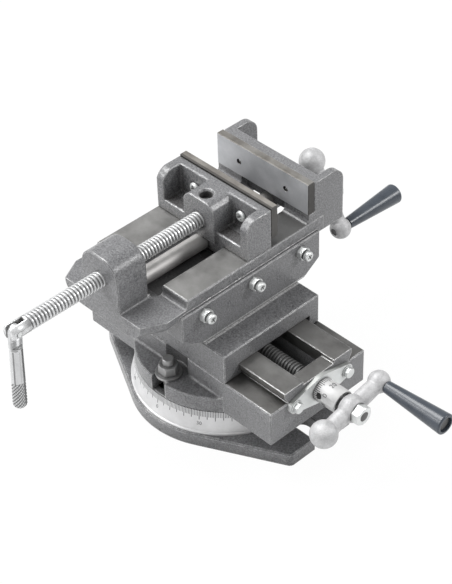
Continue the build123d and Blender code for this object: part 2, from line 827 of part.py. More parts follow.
# Movable jaw
def jaw_end_rib(sign):
    bottom = rail_top + way_gap
    side = [(jaw_front, bottom), (jaw_back, bottom), (jaw_back, casting_top), (jaw_front, casting_top)]
    edges = sorted((sign * jaw_half_width, sign * (jaw_half_width - jaw_rib_thickness)))
    rib = prism_x(side, *edges)
    corner = rib.edges().filter_by(Axis.X).sort_by(Axis.Y)[:2].sort_by(Axis.Z)[-1]
    return fillet(corner, jaw_rib_corner)


def jaw_boss():
    bottom = rail_top + way_gap
    boss = block(-jaw_boss_half_width, jaw_boss_half_width, jaw_boss_front, jaw_back, bottom, casting_top)
    shoulders = boss.edges().filter_by(Axis.Y).sort_by(Axis.Z)[-2:]
    boss = chamfer(shoulders, jaw_boss_shoulder)
    return chamfer(boss.faces().sort_by(Axis.Y)[0].edges(), casting_edge)


def jaw_keel():
    half = trough_half_width - keel_gap
    return block(-half, half, jaw_front, jaw_back, keel_bottom, rail_top + way_gap + 1)


def movable_jaw():
    bottom = rail_top + way_gap
    slab_top = bottom + jaw_slab_thickness
    seat = jaw_back - jaw_wall_thickness
    jaw = eased(block(-jaw_half_width, jaw_half_width, jaw_front, jaw_back, bottom, slab_top))
    inner = jaw_half_width - casting_edge
    jaw += block(-inner, inner, seat, jaw_back, bottom, casting_top)
    jaw += hollow_corner(-inner, inner, seat, slab_top, jaw_slab_fillet)
    jaw += jaw_end_rib(-1) + jaw_end_rib(1) + jaw_boss() + jaw_keel()
    jaw -= rod_y(vise_thread_radius + fit, jaw_boss_front, jaw_screw_socket, 0, screw_height)
    jaw -= rod_y(bar_radius + fit, jaw_boss_front, jaw_back, 0, bar_height)
    jaw -= rod_z(top_hole_radius, screw_height, casting_top, 0, top_hole_y)
    sink = Cone(top_hole_radius, top_hole_radius + top_hole_sink, top_hole_sink)
    jaw -= Pos(0, top_hole_y, casting_top - top_hole_sink / 2) * sink
    for side in (-1, 1):
        jaw -= rod_y(jaw_screw_radius + bolt_clearance, seat, jaw_back, side * jaw_screw_offset, jaw_screw_height)
    return jaw


def jaw_retaining_screw():
    """The grub screw in the top hole, whose tip sits in the neck of the vise screw."""
    start = screw_height + grub_start
    tip = rod_z(grub_tip_radius, screw_height + neck_radius + turning_gap, start + 1, 0, top_hole_y)
    return tip + rod_z(grub_radius, start, start + grub_length, 0, top_hole_y)


# Vise screw and its folding handle
def vise_screw():
    neck_start = top_hole_y - neck_half_length
    neck_end = top_hole_y + neck_half_length
    screw = rod_y(vise_thread_radius, fork_root, neck_start)
    screw += rod_y(neck_radius, neck_start - 1, neck_end + 1)
    screw += rod_y(vise_thread_radius, neck_end, vise_screw_end)
    fork = chamfer(rod_y(vise_thread_radius, fork_end, fork_root + 1).edges().sort_by(Axis.Y)[0], 1.5)
    screw += fork
    across = 2 * vise_thread_radius
    screw -= block(-fork_slot_half_width, fork_slot_half_width, fork_end - 1, fork_slot_root, -across, across)
    screw -= rod_x(pin_radius + fit, -across, across, pivot_y)
    return Pos(0, 0, screw_height) * screw


def handle_pin():
    return rod_x(pin_radius, -vise_thread_radius + 0.2, vise_thread_radius - 0.2, pivot_y, screw_height)


def vise_handle():
    """Drawn hanging straight down from the pivot at z = 0."""
    tongue = rod_x(tongue_half_width, -tongue_half_thickness, tongue_half_thickness)
    tongue += block(-tongue_half_thickness, tongue_half_thickness, -tongue_half_width, tongue_half_width,
                    -tongue_length - 1, 0)
    bar = rod_z(handle_radius, -handle_length, -tongue_length)
    bar = fillet(bar.edges().filter_by(GeomType.CIRCLE).sort_by(Axis.Z)[0], handle_radius * 0.8)
    bar = chamfer(bar.edges().filter_by(GeomType.CIRCLE).sort_by(Axis.Z)[-1], 1.2)
    groove = block(handle_radius - handle_groove_depth, handle_radius + 1, -handle_groove_width / 2,
                   handle_groove_width / 2, -handle_groove_end, -handle_groove_start)
    handle = tongue + bar - groove
    handle -= rod_x(pin_radius + fit, -2 * tongue_half_thickness, 2 * tongue_half_thickness)
    return Pos(0, pivot_y, screw_height) * handle


collar_screw_turn = 75.0
vise_place = Pos(vise_x, 0, 0)
lower_place = Pos(0, 0, lower_screw_height)
upper_place = Pos(0, 0, upper_screw_height) * Rot(0, 0, 90)


def screw_set(prefix, face, far_face, hub, angle):
    """The pieces on one lead screw, drawn along X."""
    return {
        prefix + "_bearing_plate": bearing_plate(face),
        prefix + "_plate_bolts": plate_bolts(face),
        prefix + "_lead_screw": lead_screw(face, far_face, hub),
        prefix + "_dial_collar": dial_collar(face),
        prefix + "_dial_set_screw": dial_set_screw(face),
        prefix + "_crank": ball_crank(hub, angle),
        prefix + "_crank_nut": crank_nut(hub),
        prefix + "_grip_spindle": grip_spindle(hub, angle),
        prefix + "_grip": crank_grip(hub, angle),
    }


def gib_screw_set(places, tip, face):
    screws = Compound([place * gib_screw(tip, face) for place in places])
    nuts = Compound([place * gib_lock_nut(face) for place in places])
    return screws, nuts


def turntable_nodes():
    nodes = {
        "base_plate": base_casting(),
        "degree_ring": degree_ring(),
        "lower_slide": lower_slide(),
        "swivel_clamp_studs": clamp_studs(),
        "swivel_clamp_washers": clamp_washers(),
        "swivel_clamp_nuts": clamp_nuts(),
    }
    lower_set = screw_set("lower", lower_half_length, -lower_half_length, lower_hub, lower_crank_angle)
    for name, shape in lower_set.items():
        nodes[name] = lower_place * shape
    return nodes


def vise_nodes():
    lower_tip = lower_way_half_width + way_gap + gib_thickness
    upper_tip = upper_way_half_width + way_gap + gib_thickness
    lower_gib_screws, lower_gib_nuts = gib_screw_set(lower_gib_places(), lower_tip, saddle_half_width)
    upper_gib_screws, upper_gib_nuts = gib_screw_set(upper_gib_places(), upper_tip, skirt_half_width)
    movable_seat = jaw_back - jaw_wall_thickness
    nodes = {
        "cross_saddle": cross_saddle(),
        "lower_lead_nut": lower_lead_nut(),
        "lower_nut_screws": lower_nut_screws(),
        "lower_gib": lower_gib(),
        "lower_gib_screws": lower_gib_screws,
        "lower_gib_lock_nuts": lower_gib_nuts,
        "vise_body": vise_body(),
        "upper_lead_nut": upper_lead_nut(),
        "upper_nut_screws": upper_nut_screws(),
        "upper_gib": upper_gib(),
        "upper_gib_screws": upper_gib_screws,
        "upper_gib_lock_nuts": upper_gib_nuts,
        "guide_bar": guide_bar(),
        "fixed_jaw_plate": jaw_plate(fixed_plate_front, wall_front),
        "fixed_jaw_screws": jaw_screws(wall_rear, fixed_plate_front + jaw_screw_stop),
        "movable_jaw": movable_jaw(),
        "movable_jaw_plate": jaw_plate(jaw_back, movable_plate_front),
        "movable_jaw_screws": jaw_screws(movable_seat, movable_plate_front - jaw_screw_stop),
        "jaw_retaining_screw": jaw_retaining_screw(),
        "vise_screw": vise_screw(),
        "handle_pin": handle_pin(),
        "vise_handle": vise_handle(),
    }
    upper_set = screw_set("upper", saddle_half_width, -saddle_half_width, upper_hub, upper_crank_angle)
    for name, shape in upper_set.items():
        nodes[name] = upper_place * shape
    return {name: vise_place * shape for name, shape in nodes.items()}


os.makedirs("parts", exist_ok=True)
for name, shape in {**turntable_nodes(), **vise_nodes()}.items():
    export_step(shape, "parts/" + name + ".step")
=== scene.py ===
import json
from math import atan2, cos, pi, radians, sin

import bmesh
import bpy
import numpy as np
from mathutils import Matrix, Vector


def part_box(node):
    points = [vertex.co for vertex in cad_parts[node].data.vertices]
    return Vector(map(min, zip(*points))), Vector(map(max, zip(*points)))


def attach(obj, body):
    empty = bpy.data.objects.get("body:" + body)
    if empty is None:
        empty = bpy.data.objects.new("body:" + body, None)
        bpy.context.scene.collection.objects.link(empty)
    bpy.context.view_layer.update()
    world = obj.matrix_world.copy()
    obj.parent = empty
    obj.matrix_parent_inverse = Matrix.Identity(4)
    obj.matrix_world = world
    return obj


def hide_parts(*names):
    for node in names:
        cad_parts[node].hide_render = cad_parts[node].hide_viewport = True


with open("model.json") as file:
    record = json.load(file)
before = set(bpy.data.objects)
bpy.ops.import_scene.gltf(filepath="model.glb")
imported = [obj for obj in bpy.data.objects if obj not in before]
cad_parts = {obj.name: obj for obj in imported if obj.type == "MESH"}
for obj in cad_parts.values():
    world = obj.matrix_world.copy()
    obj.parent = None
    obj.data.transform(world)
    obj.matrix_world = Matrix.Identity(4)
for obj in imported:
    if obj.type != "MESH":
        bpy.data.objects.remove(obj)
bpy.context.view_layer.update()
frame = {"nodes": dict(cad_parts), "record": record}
cad = frame["nodes"]
bodyOf = {node: body for body, nodes in frame["record"]["behaviour"]["bodies"].items() for node in nodes}
slotOf = {entry["node"]: entry["material_slot"] for entry in frame["record"]["subparts"]}
mm = 0.001
print("frame loaded,", len(cad), "nodes")

# Axes of the three screws: local X of a turned piece runs along each of them
viseX = -21.7 * mm
lowerZ, upperZ, viseZ = 59.3 * mm, 100.4 * mm, 153.5 * mm
lowerAxis = Matrix.Translation((0, 0, lowerZ))
upperAxis = Matrix.Translation((viseX, 0, upperZ)) @ Matrix.Rotation(pi / 2, 4, "Z")
viseAxis = Matrix.Translation((viseX, 0, viseZ)) @ Matrix.Rotation(pi / 2, 4, "Z")


# Mesh helpers

def addMesh(name, mesh, body):
    piece = bpy.data.objects.new(name, mesh)
    bpy.context.scene.collection.objects.link(piece)
    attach(piece, body)
    return piece


def bareCopy(node):
    mesh = cad[node].data.copy()
    mesh.materials.clear()
    return mesh


def smoothByAngle(mesh, degrees=35):
    mesh.shade_smooth()
    mesh.set_sharp_from_angle(angle=radians(degrees))


def turnedMesh(name, stations, radiusAt, steps, place):
    # A closed surface of revolution whose radius may vary around and along its axis.
    along = np.array(stations)
    around = np.linspace(0, 2 * pi, steps, endpoint=False)
    a, t = np.meshgrid(along, around, indexing="ij")
    r = radiusAt(a, t)
    points = np.stack([a, r * np.cos(t), r * np.sin(t)], -1).reshape(-1, 3)
    rings = len(along)
    index = np.arange(rings * steps).reshape(rings, steps)
    following = np.roll(index, -1, axis=1)
    quads = np.stack([index[:-1], index[1:], following[1:], following[:-1]], -1).reshape(-1, 4)
    faces = [tuple(int(i) for i in q) for q in quads[:, ::-1]]
    verts = [tuple(p) for p in points]
    for ring, side in ((0, 1), (rings - 1, -1)):
        centre = len(verts)
        verts.append((float(along[ring]), 0.0, 0.0))
        for j in range(steps):
            pair = (int(index[ring][j]), int(following[ring][j]))
            faces.append((centre, *pair[::-1]) if side > 0 else (centre, *pair))
    mesh = bpy.data.meshes.new(name)
    mesh.from_pydata(verts, [], faces)
    mesh.transform(place)
    mesh.update()
    return mesh


def evaluatedMesh(piece):
    depsgraph = bpy.context.evaluated_depsgraph_get()
    return bpy.data.meshes.new_from_object(piece.evaluated_get(depsgraph))


def cutCopy(node, point, normal):
    # The part of a node's mesh behind a plane, closed again at the plane.
    work = bmesh.new()
    work.from_mesh(cad[node].data)
    bmesh.ops.remove_doubles(work, verts=work.verts, dist=1e-6)
    cut = bmesh.ops.bisect_plane(work, geom=work.verts[:] + work.edges[:] + work.faces[:],
                                 plane_co=point, plane_no=normal, clear_outer=True)
    edges = [g for g in cut["geom_cut"] if isinstance(g, bmesh.types.BMEdge)]
    bmesh.ops.holes_fill(work, edges=edges)
    mesh = bpy.data.meshes.new(node + "_cut")
    work.to_mesh(mesh)
    work.free()
    return mesh


def joinMeshes(name, meshes, degrees=35):
    work = bmesh.new()
    for mesh in meshes:
        work.from_mesh(mesh)
    joined = bpy.data.meshes.new(name)
    work.to_mesh(joined)
    work.free()
    smoothByAngle(joined, degrees)
    return joined


def modified(name, source, modifiers):
    # A mesh with some modifiers applied: each is (type, {property: value}).
    holder = bpy.data.objects.new(name, source)
    bpy.context.scene.collection.objects.link(holder)
    for kind, values in modifiers:
        modifier = holder.modifiers.new(kind.title(), kind)
        for key, value in values.items():
            setattr(modifier, key, value)
    mesh = evaluatedMesh(holder)
    bpy.data.objects.remove(holder)
    return mesh


def blockMesh(size, place):
    work = bmesh.new()
    bmesh.ops.create_cube(work, size=1.0, matrix=place @ Matrix.Diagonal((*size, 1.0)))
    mesh = bpy.data.meshes.new("block")
    work.to_mesh(mesh)
    work.free()
    return mesh


def carve(name, source, cutters):
    # A mesh with the cutters taken out of it.
    tools = []
    modifiers = []
    for i, cutter in enumerate(cutters):
        tool = bpy.data.objects.new(f"{name}_tool_{i}", cutter)
        bpy.context.scene.collection.objects.link(tool)
        tools.append(tool)
        modifiers.append(("BOOLEAN", {"object": tool, "operation": "DIFFERENCE", "solver": "EXACT"}))
    bpy.context.view_layer.update()
    mesh = modified(name, source, modifiers)
    for tool in tools:
        bpy.data.objects.remove(tool)
    return mesh


# Shader helpers

def addNode(tree, kind, values=None, **settings):
    node = tree.nodes.new(kind)
    for key, value in settings.items():
        setattr(node, key, value)
    for key, value in (values or {}).items():
        if isinstance(value, bpy.types.NodeSocket):
            tree.links.new(value, node.inputs[key])
        else:
            node.inputs[key].default_value = value
    return node


def mathNode(tree, operation, *values, clamp=False):
    node = addNode(tree, "ShaderNodeMath", dict(enumerate(values)), operation=operation, use_clamp=clamp)
    return node.outputs[0]


def product(tree, first, *others):
    for other in others:
        first = mathNode(tree, "MULTIPLY", first, other)
    return first


def between(tree, value, low, high):
    return product(tree, mathNode(tree, "GREATER_THAN", value, low), mathNode(tree, "LESS_THAN", value, high))


def lengthOf(tree, first, second):
    squares = mathNode(tree, "ADD", product(tree, first, first), product(tree, second, second))
    return mathNode(tree, "SQRT", squares)


def dot(tree, first, second):
    return addNode(tree, "ShaderNodeVectorMath", {0: first, 1: second}, operation="DOT_PRODUCT").outputs["Value"]


def remap(tree, value, fromLow, fromHigh, toLow=0.0, toHigh=1.0):
    node = addNode(tree, "ShaderNodeMapRange", {"Value": value, "From Min": fromLow, "From Max": fromHigh,
                                               "To Min": toLow, "To Max": toHigh}, clamp=True)
    return node.outputs["Result"]


def spread(tree, noise, toLow=0.0, toHigh=1.0):
    # The middle of a noise, stretched over a range.
    return remap(tree, noise, 0.3, 0.7, toLow, toHigh)


def placeFrom(tree, centre=None):
    # Where a point lies on its piece, as one vector.
    place = addNode(tree, "ShaderNodeTexCoord").outputs["Object"]
    if centre is None:
        return place
    return addNode(tree, "ShaderNodeVectorMath", {0: place, 1: centre}, operation="SUBTRACT").outputs[0]


def facingOf(tree):
    return addNode(tree, "ShaderNodeTexCoord").outputs["Normal"]


def partsOf(tree, vector):
    return addNode(tree, "ShaderNodeSeparateXYZ", {0: vector}).outputs


def mixColour(tree, factor, first, second):
    return addNode(tree, "ShaderNodeMix", {0: factor, 6: first, 7: second}, data_type="RGBA").outputs[2]


def mixValue(tree, factor, first, second):
    return addNode(tree, "ShaderNodeMix", {0: factor, 2: first, 3: second}, data_type="FLOAT").outputs[0]


def newGroup(name, inputs, outputs):
    group = bpy.data.node_groups.new(name, "ShaderNodeTree")
    for label, default in inputs.items():
        socket = group.interface.new_socket(label, in_out="INPUT", socket_type="NodeSocketFloat")
        socket.default_value = default
    for label in outputs:
        group.interface.new_socket(label, in_out="OUTPUT", socket_type="NodeSocketFloat")
    return group, group.nodes.new("NodeGroupInput").outputs, group.nodes.new("NodeGroupOutput").inputs


def noise(tree, place, scale, detail, roughness=0.5):
    values = {"Vector": place, "Scale": scale, "Detail": detail, "Roughness": roughness}
    return addNode(tree, "ShaderNodeTexNoise", values).outputs["Fac"]


def castGrainGroup():
    # Pebbled skin of a painted sand casting: a fine height and a slow mottle.
    group, given, result = newGroup("castGrain", {"Grain Size": 0.0016, "Mottle Size": 0.03},
                                    ["Height", "Mottle", "Speckle"])
    place = placeFrom(group)
    fine = mathNode(group, "DIVIDE", 1.0, given["Grain Size"])
    slow = mathNode(group, "DIVIDE", 1.0, given["Mottle Size"])
    pebble = noise(group, place, fine, 3.0, 0.55)
    lumps = noise(group, place, slow, 4.0, 0.6)
    specks = noise(group, place, product(group, fine, 1.25), 2.0, 0.7)
    group.links.new(mathNode(group, "ADD", pebble, product(group, lumps, 0.8)), result["Height"])
    group.links.new(lumps, result["Mottle"])
    group.links.new(remap(group, specks, 0.36, 0.66), result["Speckle"])
    return group


def wornEdgeGroup():
    # Where the surface turns a corner, broken up a little: bright edges, partly wear and partly a painted highlight
    # on fillets and corners.
    group, given, result = newGroup("edgeWearAndHighlight", {"Radius": 0.001, "Breakup": 0.5}, ["Edge"])
    group.interface.new_socket("Rounded", in_out="OUTPUT", socket_type="NodeSocketVector")
    turned = addNode(group, "ShaderNodeBevel", {"Radius": given["Radius"]}, samples=6)
    normal = addNode(group, "ShaderNodeNewGeometry").outputs["Normal"]
    bend = mathNode(group, "SUBTRACT", 1.0, dot(group, turned.outputs[0], normal))
    strong = remap(group, bend, 0.010, 0.11)
    broken = remap(group, noise(group, placeFrom(group), 260.0, 3.0), 0.4, 0.62)
    kept = product(group, mathNode(group, "SUBTRACT", 1.0, broken), given["Breakup"])
    edge = mathNode(group, "SUBTRACT", strong, kept, clamp=True)
    group.links.new(edge, result["Edge"])
    group.links.new(turned.outputs[0], result["Rounded"])
    return group


def millMarksGroup():
    # Fine parallel tool marks along one axis, with faint stains.
    group, given, result = newGroup("millMarks", {"Across X": 1.0, "Across Y": 1.0, "Across Z": 1.0,
                                                  "Mark Size": 0.0006}, ["Height", "Stain"])
    place = placeFrom(group)
    scale = addNode(group, "ShaderNodeCombineXYZ", {axis: given["Across " + axis] for axis in "XYZ"})
    stretched = addNode(group, "ShaderNodeVectorMath", {0: place, 1: scale.outputs[0]}, operation="MULTIPLY")
    fine = mathNode(group, "DIVIDE", 1.0, given["Mark Size"])
    group.links.new(noise(group, stretched.outputs[0], fine, 2.0), result["Height"])
    group.links.new(noise(group, place, 45.0, 5.0, 0.65), result["Stain"])
    return group


def creviceGroup():
    # 1 deep in corners and narrow gaps, where light doesn't reach: a mask for painted shade.
    group, given, result = newGroup("crevice", {"Reach": 0.004}, ["Crevice"])
    hidden = addNode(group, "ShaderNodeAmbientOcclusion", {"Distance": given["Reach"]}, samples=6)
    group.links.new(remap(group, hidden.outputs["AO"], 0.75, 0.3), result["Crevice"])
    return group


castGrain = castGrainGroup()
edgeWearAndHighlight = wornEdgeGroup()
crevice = creviceGroup()
millMarks = millMarksGroup()
print("shared effects built")


def newMaterial(name, settings):
    material = bpy.data.materials.new(name)
    material.use_nodes = True
    tree = material.node_tree
    shader = tree.nodes["Principled BSDF"]
    for key, value in settings.items():
        shader.inputs[key].default_value = value
    return material, tree, shader


def groupNode(tree, group, values=None):
    node = tree.nodes.new("ShaderNodeGroup")
    node.node_tree = group
    for key, value in (values or {}).items():
        node.inputs[key].default_value = value
    return node.outputs


def millMarksNode(tree, across, markSize=0.0006):
    values = {"Across " + axis: share for axis, share in zip("XYZ", across)}
    return groupNode(tree, millMarks, {**values, "Mark Size": markSize})


def castGrainNode(tree, look):
    return groupNode(tree, castGrain, {"Grain Size": look["grainSize"], "Mottle Size": look["mottleSize"]})


def bump(tree, shader, height, strength, distance, rounded=None):
    node = addNode(tree, "ShaderNodeBump", {"Height": height, "Strength": strength, "Distance": distance})
    if rounded:
        tree.links.new(rounded, node.inputs["Normal"])
    tree.links.new(node.outputs["Normal"], shader.inputs["Normal"])


def feed(tree, shader, **sockets):
    for key, value in sockets.items():
        tree.links.new(value, shader.inputs[key.replace("_", " ")])


def grey(level, warm=0.0):
    return (level * (1 + warm), level, level * (1 - warm), 1.0)


# Castings: painted all over, ground bright on their working faces
castingLook = {
    "paintDark": (0.104, 0.105, 0.109, 1.0),
    "paintLight": (0.152, 0.153, 0.158, 1.0),
    "speckDark": (0.040, 0.040, 0.043, 1.0),
    "speckLight": (0.300, 0.301, 0.306, 1.0),
    "speckShare": 0.44,
    "paintRough": (0.24, 0.36),
    # Colour of bright edges and of the skirt's foot: partly wear, partly a painted highlight
    "wearAndHighlightColour": (0.56, 0.56, 0.56, 1.0),
    "edgeWidth": 0.0015,
    # Painted shade in corners and recesses: how strong, how far it reaches, its colour
    "cornerShade": 0.5,
    "cornerShadeReach": 0.012,
    "cornerShadeColour": (0.030, 0.027, 0.025, 1.0),
    "groundDark": (0.190, 0.188, 0.183, 1.0),
    "groundLight": (0.310, 0.308, 0.302, 1.0),
    "groundRough": (0.36, 0.50),
    "grainDepth": 0.00020,
    "edgeMetal": 0.5,
    "groundMetal": 0.9,
    "groundHeight": 0.06,
    # Colour of painted shade, with some soot, in hollows
    "sootAndShade": (0.018, 0.018, 0.018, 1.0),
    # How much of the skirt's foot takes the painted highlight, partly wear, through the speckle
    "wearAndHighlightShare": (0.35, 0.95),
}


def groundMask(tree, bands):
    # 1 on the machined faces, each given by a facing axis and a range of places, in millimetres.
    place, facing = partsOf(tree, placeFrom(tree)), partsOf(tree, facingOf(tree))
    total = 0.0
    for band in bands:
        face = facing["XYZ".index(band["face"])]
        if band.get("either"):
            face = mathNode(tree, "ABSOLUTE", face)
        mask = mathNode(tree, "GREATER_THAN", face, band.get("least", 0.9))
        for axis, (low, high) in band["within"].items():
            mask = product(tree, mask, between(tree, place["XYZ".index(axis)], low * mm, high * mm))
        total = mathNode(tree, "MAXIMUM", total, mask)
    return total


def insideMask(tree, span):
    # 1 within a box given in millimetres by axis.
    place = partsOf(tree, placeFrom(tree))
    return product(tree, *[between(tree, place["XYZ".index(axis)], low * mm, high * mm)
                           for axis, (low, high) in span.items()])


def castingMaterial(name, bands, across=(1.0, 1.0, 1.0), changes={}, sootAndShadeSpans=(), wearAndHighlightSpan=None):
    look = {**castingLook, **changes}
    material, tree, shader = newMaterial(name, {"IOR": 1.5})
    grain = groupNode(tree, castGrain)
    corner = groupNode(tree, edgeWearAndHighlight, {"Radius": look["edgeWidth"]})
    edge = corner["Edge"]
    marks = millMarksNode(tree, across)
    paint = mixColour(tree, spread(tree, grain["Mottle"]), look["paintDark"], look["paintLight"])
    specks = mixColour(tree, grain["Speckle"], look["speckDark"], look["speckLight"])
    paint = mixColour(tree, look["speckShare"], paint, specks)
    # Painted shade in corners and recesses
    cornerShade = groupNode(tree, crevice, {"Reach": look["cornerShadeReach"]})["Crevice"]
    paint = mixColour(tree, product(tree, cornerShade, look["cornerShade"]), paint, look["cornerShadeColour"])
    ground = mixColour(tree, spread(tree, marks["Stain"]), look["groundDark"], look["groundLight"])
    colour, height = paint, grain["Height"]
    rough = spread(tree, grain["Mottle"], *look["paintRough"])
    metal = product(tree, edge, look["edgeMetal"])
    if bands:
        mask = groundMask(tree, bands)
        colour = mixColour(tree, mask, paint, ground)
        rough = mixValue(tree, mask, rough, spread(tree, marks["Stain"], *look["groundRough"]))
        metal = mathNode(tree, "MAXIMUM", metal, product(tree, mask, look["groundMetal"]))
        height = mixValue(tree, mask, height, product(tree, marks["Height"], look["groundHeight"]))
    # Bright edges: partly wear, partly a painted highlight
    colour = mixColour(tree, edge, colour, look["wearAndHighlightColour"])
    # Painted shade, with some soot, over given boxes
    for span, share in sootAndShadeSpans:
        colour = mixColour(tree, product(tree, insideMask(tree, span), share), colour, look["sootAndShade"])
    # A painted highlight, partly wear, over a given box
    if wearAndHighlightSpan:
        patchy = remap(tree, grain["Speckle"], 0.1, 0.6, *look["wearAndHighlightShare"])
        colour = mixColour(tree, product(tree, insideMask(tree, wearAndHighlightSpan), patchy), colour, look["wearAndHighlightColour"])
    feed(tree, shader, Base_Color=colour, Roughness=rough, Metallic=metal)
    bump(tree, shader, height, 1.0, look["grainDepth"], corner["Rounded"])
    return material


def valleyMask(tree, look):
    # 1 at the root of a thread around an axis along Y, 0 at its crest: a mask for painted shade in the thread's
    # roots.
    parts = partsOf(tree, placeFrom(tree, look["centre"]))
    deep = remap(tree, lengthOf(tree, parts[0], parts[2]), look["crest"], look["root"])
    return product(tree, deep, mathNode(tree, "GREATER_THAN", parts[1], look["start"]))


def barMask(tree, look):
    # 1 in a knurl's grooves and along the shaded lines of a bar that hangs from a pivot: a mask for painted shade.
    local = placeFrom(tree, look["pivot"])
    hung = Matrix.Rotation(radians(look["hang"]), 3, "X")
    across, outward, along = (dot(tree, local, hung @ Vector(way)) for way in ((1, 0, 0), (0, 1, 0), (0, 0, -1)))
    turn = mathNode(tree, "DIVIDE", mathNode(tree, "ARCTAN2", across, outward), 2 * pi)
    slope = mathNode(tree, "DIVIDE", along, look["lead"] * 2)
    knurled = mathNode(tree, "GREATER_THAN", along, look["knurlStart"])
    total = 0.0
    for side, depth in look["grooves"].items():
        phase = product(tree, mathNode(tree, side, turn, slope), float(look["diamonds"]))
        share = mathNode(tree, "FRACT", mathNode(tree, "ADD", phase, 100.0))
        off = mathNode(tree, "ABSOLUTE", mathNode(tree, "SUBTRACT", product(tree, share, 2.0), 1.0))
        groove = product(tree, remap(tree, off, *look["grooveEdge"]), depth, knurled)
        total = mathNode(tree, "MAXIMUM", total, groove)
    for low, high, near, far, share in look["shades"]:
        rise = remap(tree, turn, low / 360, (low + look["fade"]) / 360)
        fall = remap(tree, turn, (high - look["fade"]) / 360, high / 360, 1.0, 0.0)
        shade = product(tree, mathNode(tree, "MINIMUM", rise, fall), share, between(tree, along, near, far))
        total = mathNode(tree, "MAXIMUM", total, shade)
    return total


# Bare and plated metal
# Bright edges are partly wear and partly a painted highlight; corners get painted shade, the outline a painted dark
# reflection
plainMetal = {"metallic": 1.0, "across": (1.0, 1.0, 1.0), "markSize": 0.0006, "markDepth": 0.00002, "soft": False,
              "edge": grey(0.7), "edgeRadius": 0.0004, "edgeShare": 0.5, "sideShades": {}, "sideShadeLeast": 0.6,
              "cornerShade": 0.75, "cornerShadeReach": 0.0025, "shadeStreakShare": 0.75, "rimFrom": 0.48, "rimTo": 0.95}


def metalMaterial(name, look):
    look = {**plainMetal, **look}
    material, tree, shader = newMaterial(name, {"Metallic": look["metallic"]})
    marks = millMarksNode(tree, look["across"], look["markSize"])
    corner = groupNode(tree, edgeWearAndHighlight, {"Radius": look["edgeRadius"]})
    colour = mixColour(tree, spread(tree, marks["Stain"]), look["dark"], look["light"])
    # Bright edges: partly wear, partly a painted highlight
    colour = mixColour(tree, product(tree, corner["Edge"], look["edgeShare"]), colour, look["edge"])
    rough = spread(tree, marks["Stain"], *look["rough"])
    # Painted shade: faces turned one way get their own darker colours
    for axis, (dark, light) in look["sideShades"].items():
        turned = partsOf(tree, facingOf(tree))["XYZ".index(axis[-1])]
        turned = product(tree, turned, -1.0) if axis[0] == "-" else mathNode(tree, "ABSOLUTE", turned)
        other = mixColour(tree, remap(tree, marks["Stain"], 0.35, 0.65), dark, light)
        colour = mixColour(tree, mathNode(tree, "GREATER_THAN", turned, look["sideShadeLeast"]), colour, other)
    # Painted shade in corners and narrow gaps
    cornerShade = groupNode(tree, crevice, {"Reach": look["cornerShadeReach"]})["Crevice"]
    colour = mixColour(tree, product(tree, cornerShade, look["cornerShade"]), colour, grey(0.03, 0.02))
    # A painted shade streak over a box, in a gap or slot
    if "shadeStreak" in look:
        shade = product(tree, insideMask(tree, look["shadeStreak"]), look["shadeStreakShare"])
        colour = mixColour(tree, shade, colour, grey(0.03, 0.05))
    # Painted shade in a thread's roots
    if "valleyShade" in look:
        colour = mixColour(tree, valleyMask(tree, look["valleyShade"]), colour, look["valleyShade"]["colour"])
    # A painted dark reflection, darker towards the outline
    if "rim" in look:
        facing = addNode(tree, "ShaderNodeLayerWeight", {"Blend": 0.5}).outputs["Facing"]
        turned = product(tree, remap(tree, facing, look["rimFrom"], look["rimTo"]), look["rim"])
        colour = mixColour(tree, turned, colour, grey(0.10))
    # Painted shade in the knurl's grooves and along the bar's shaded lines
    if "bar" in look:
        colour = mixColour(tree, barMask(tree, look["bar"]), colour, look["bar"]["colour"])
    feed(tree, shader, Base_Color=colour, Roughness=rough)
    bump(tree, shader, marks["Height"], 1.0, look["markDepth"], corner["Rounded"] if look["soft"] else None)
    return material


# The folding handle's bar, for its finish here and its shape below
handleBar = {"pivot": (viseX, -181.5 * mm, viseZ), "hang": -3.0, "lead": 20.0 * mm, "diamonds": 13}

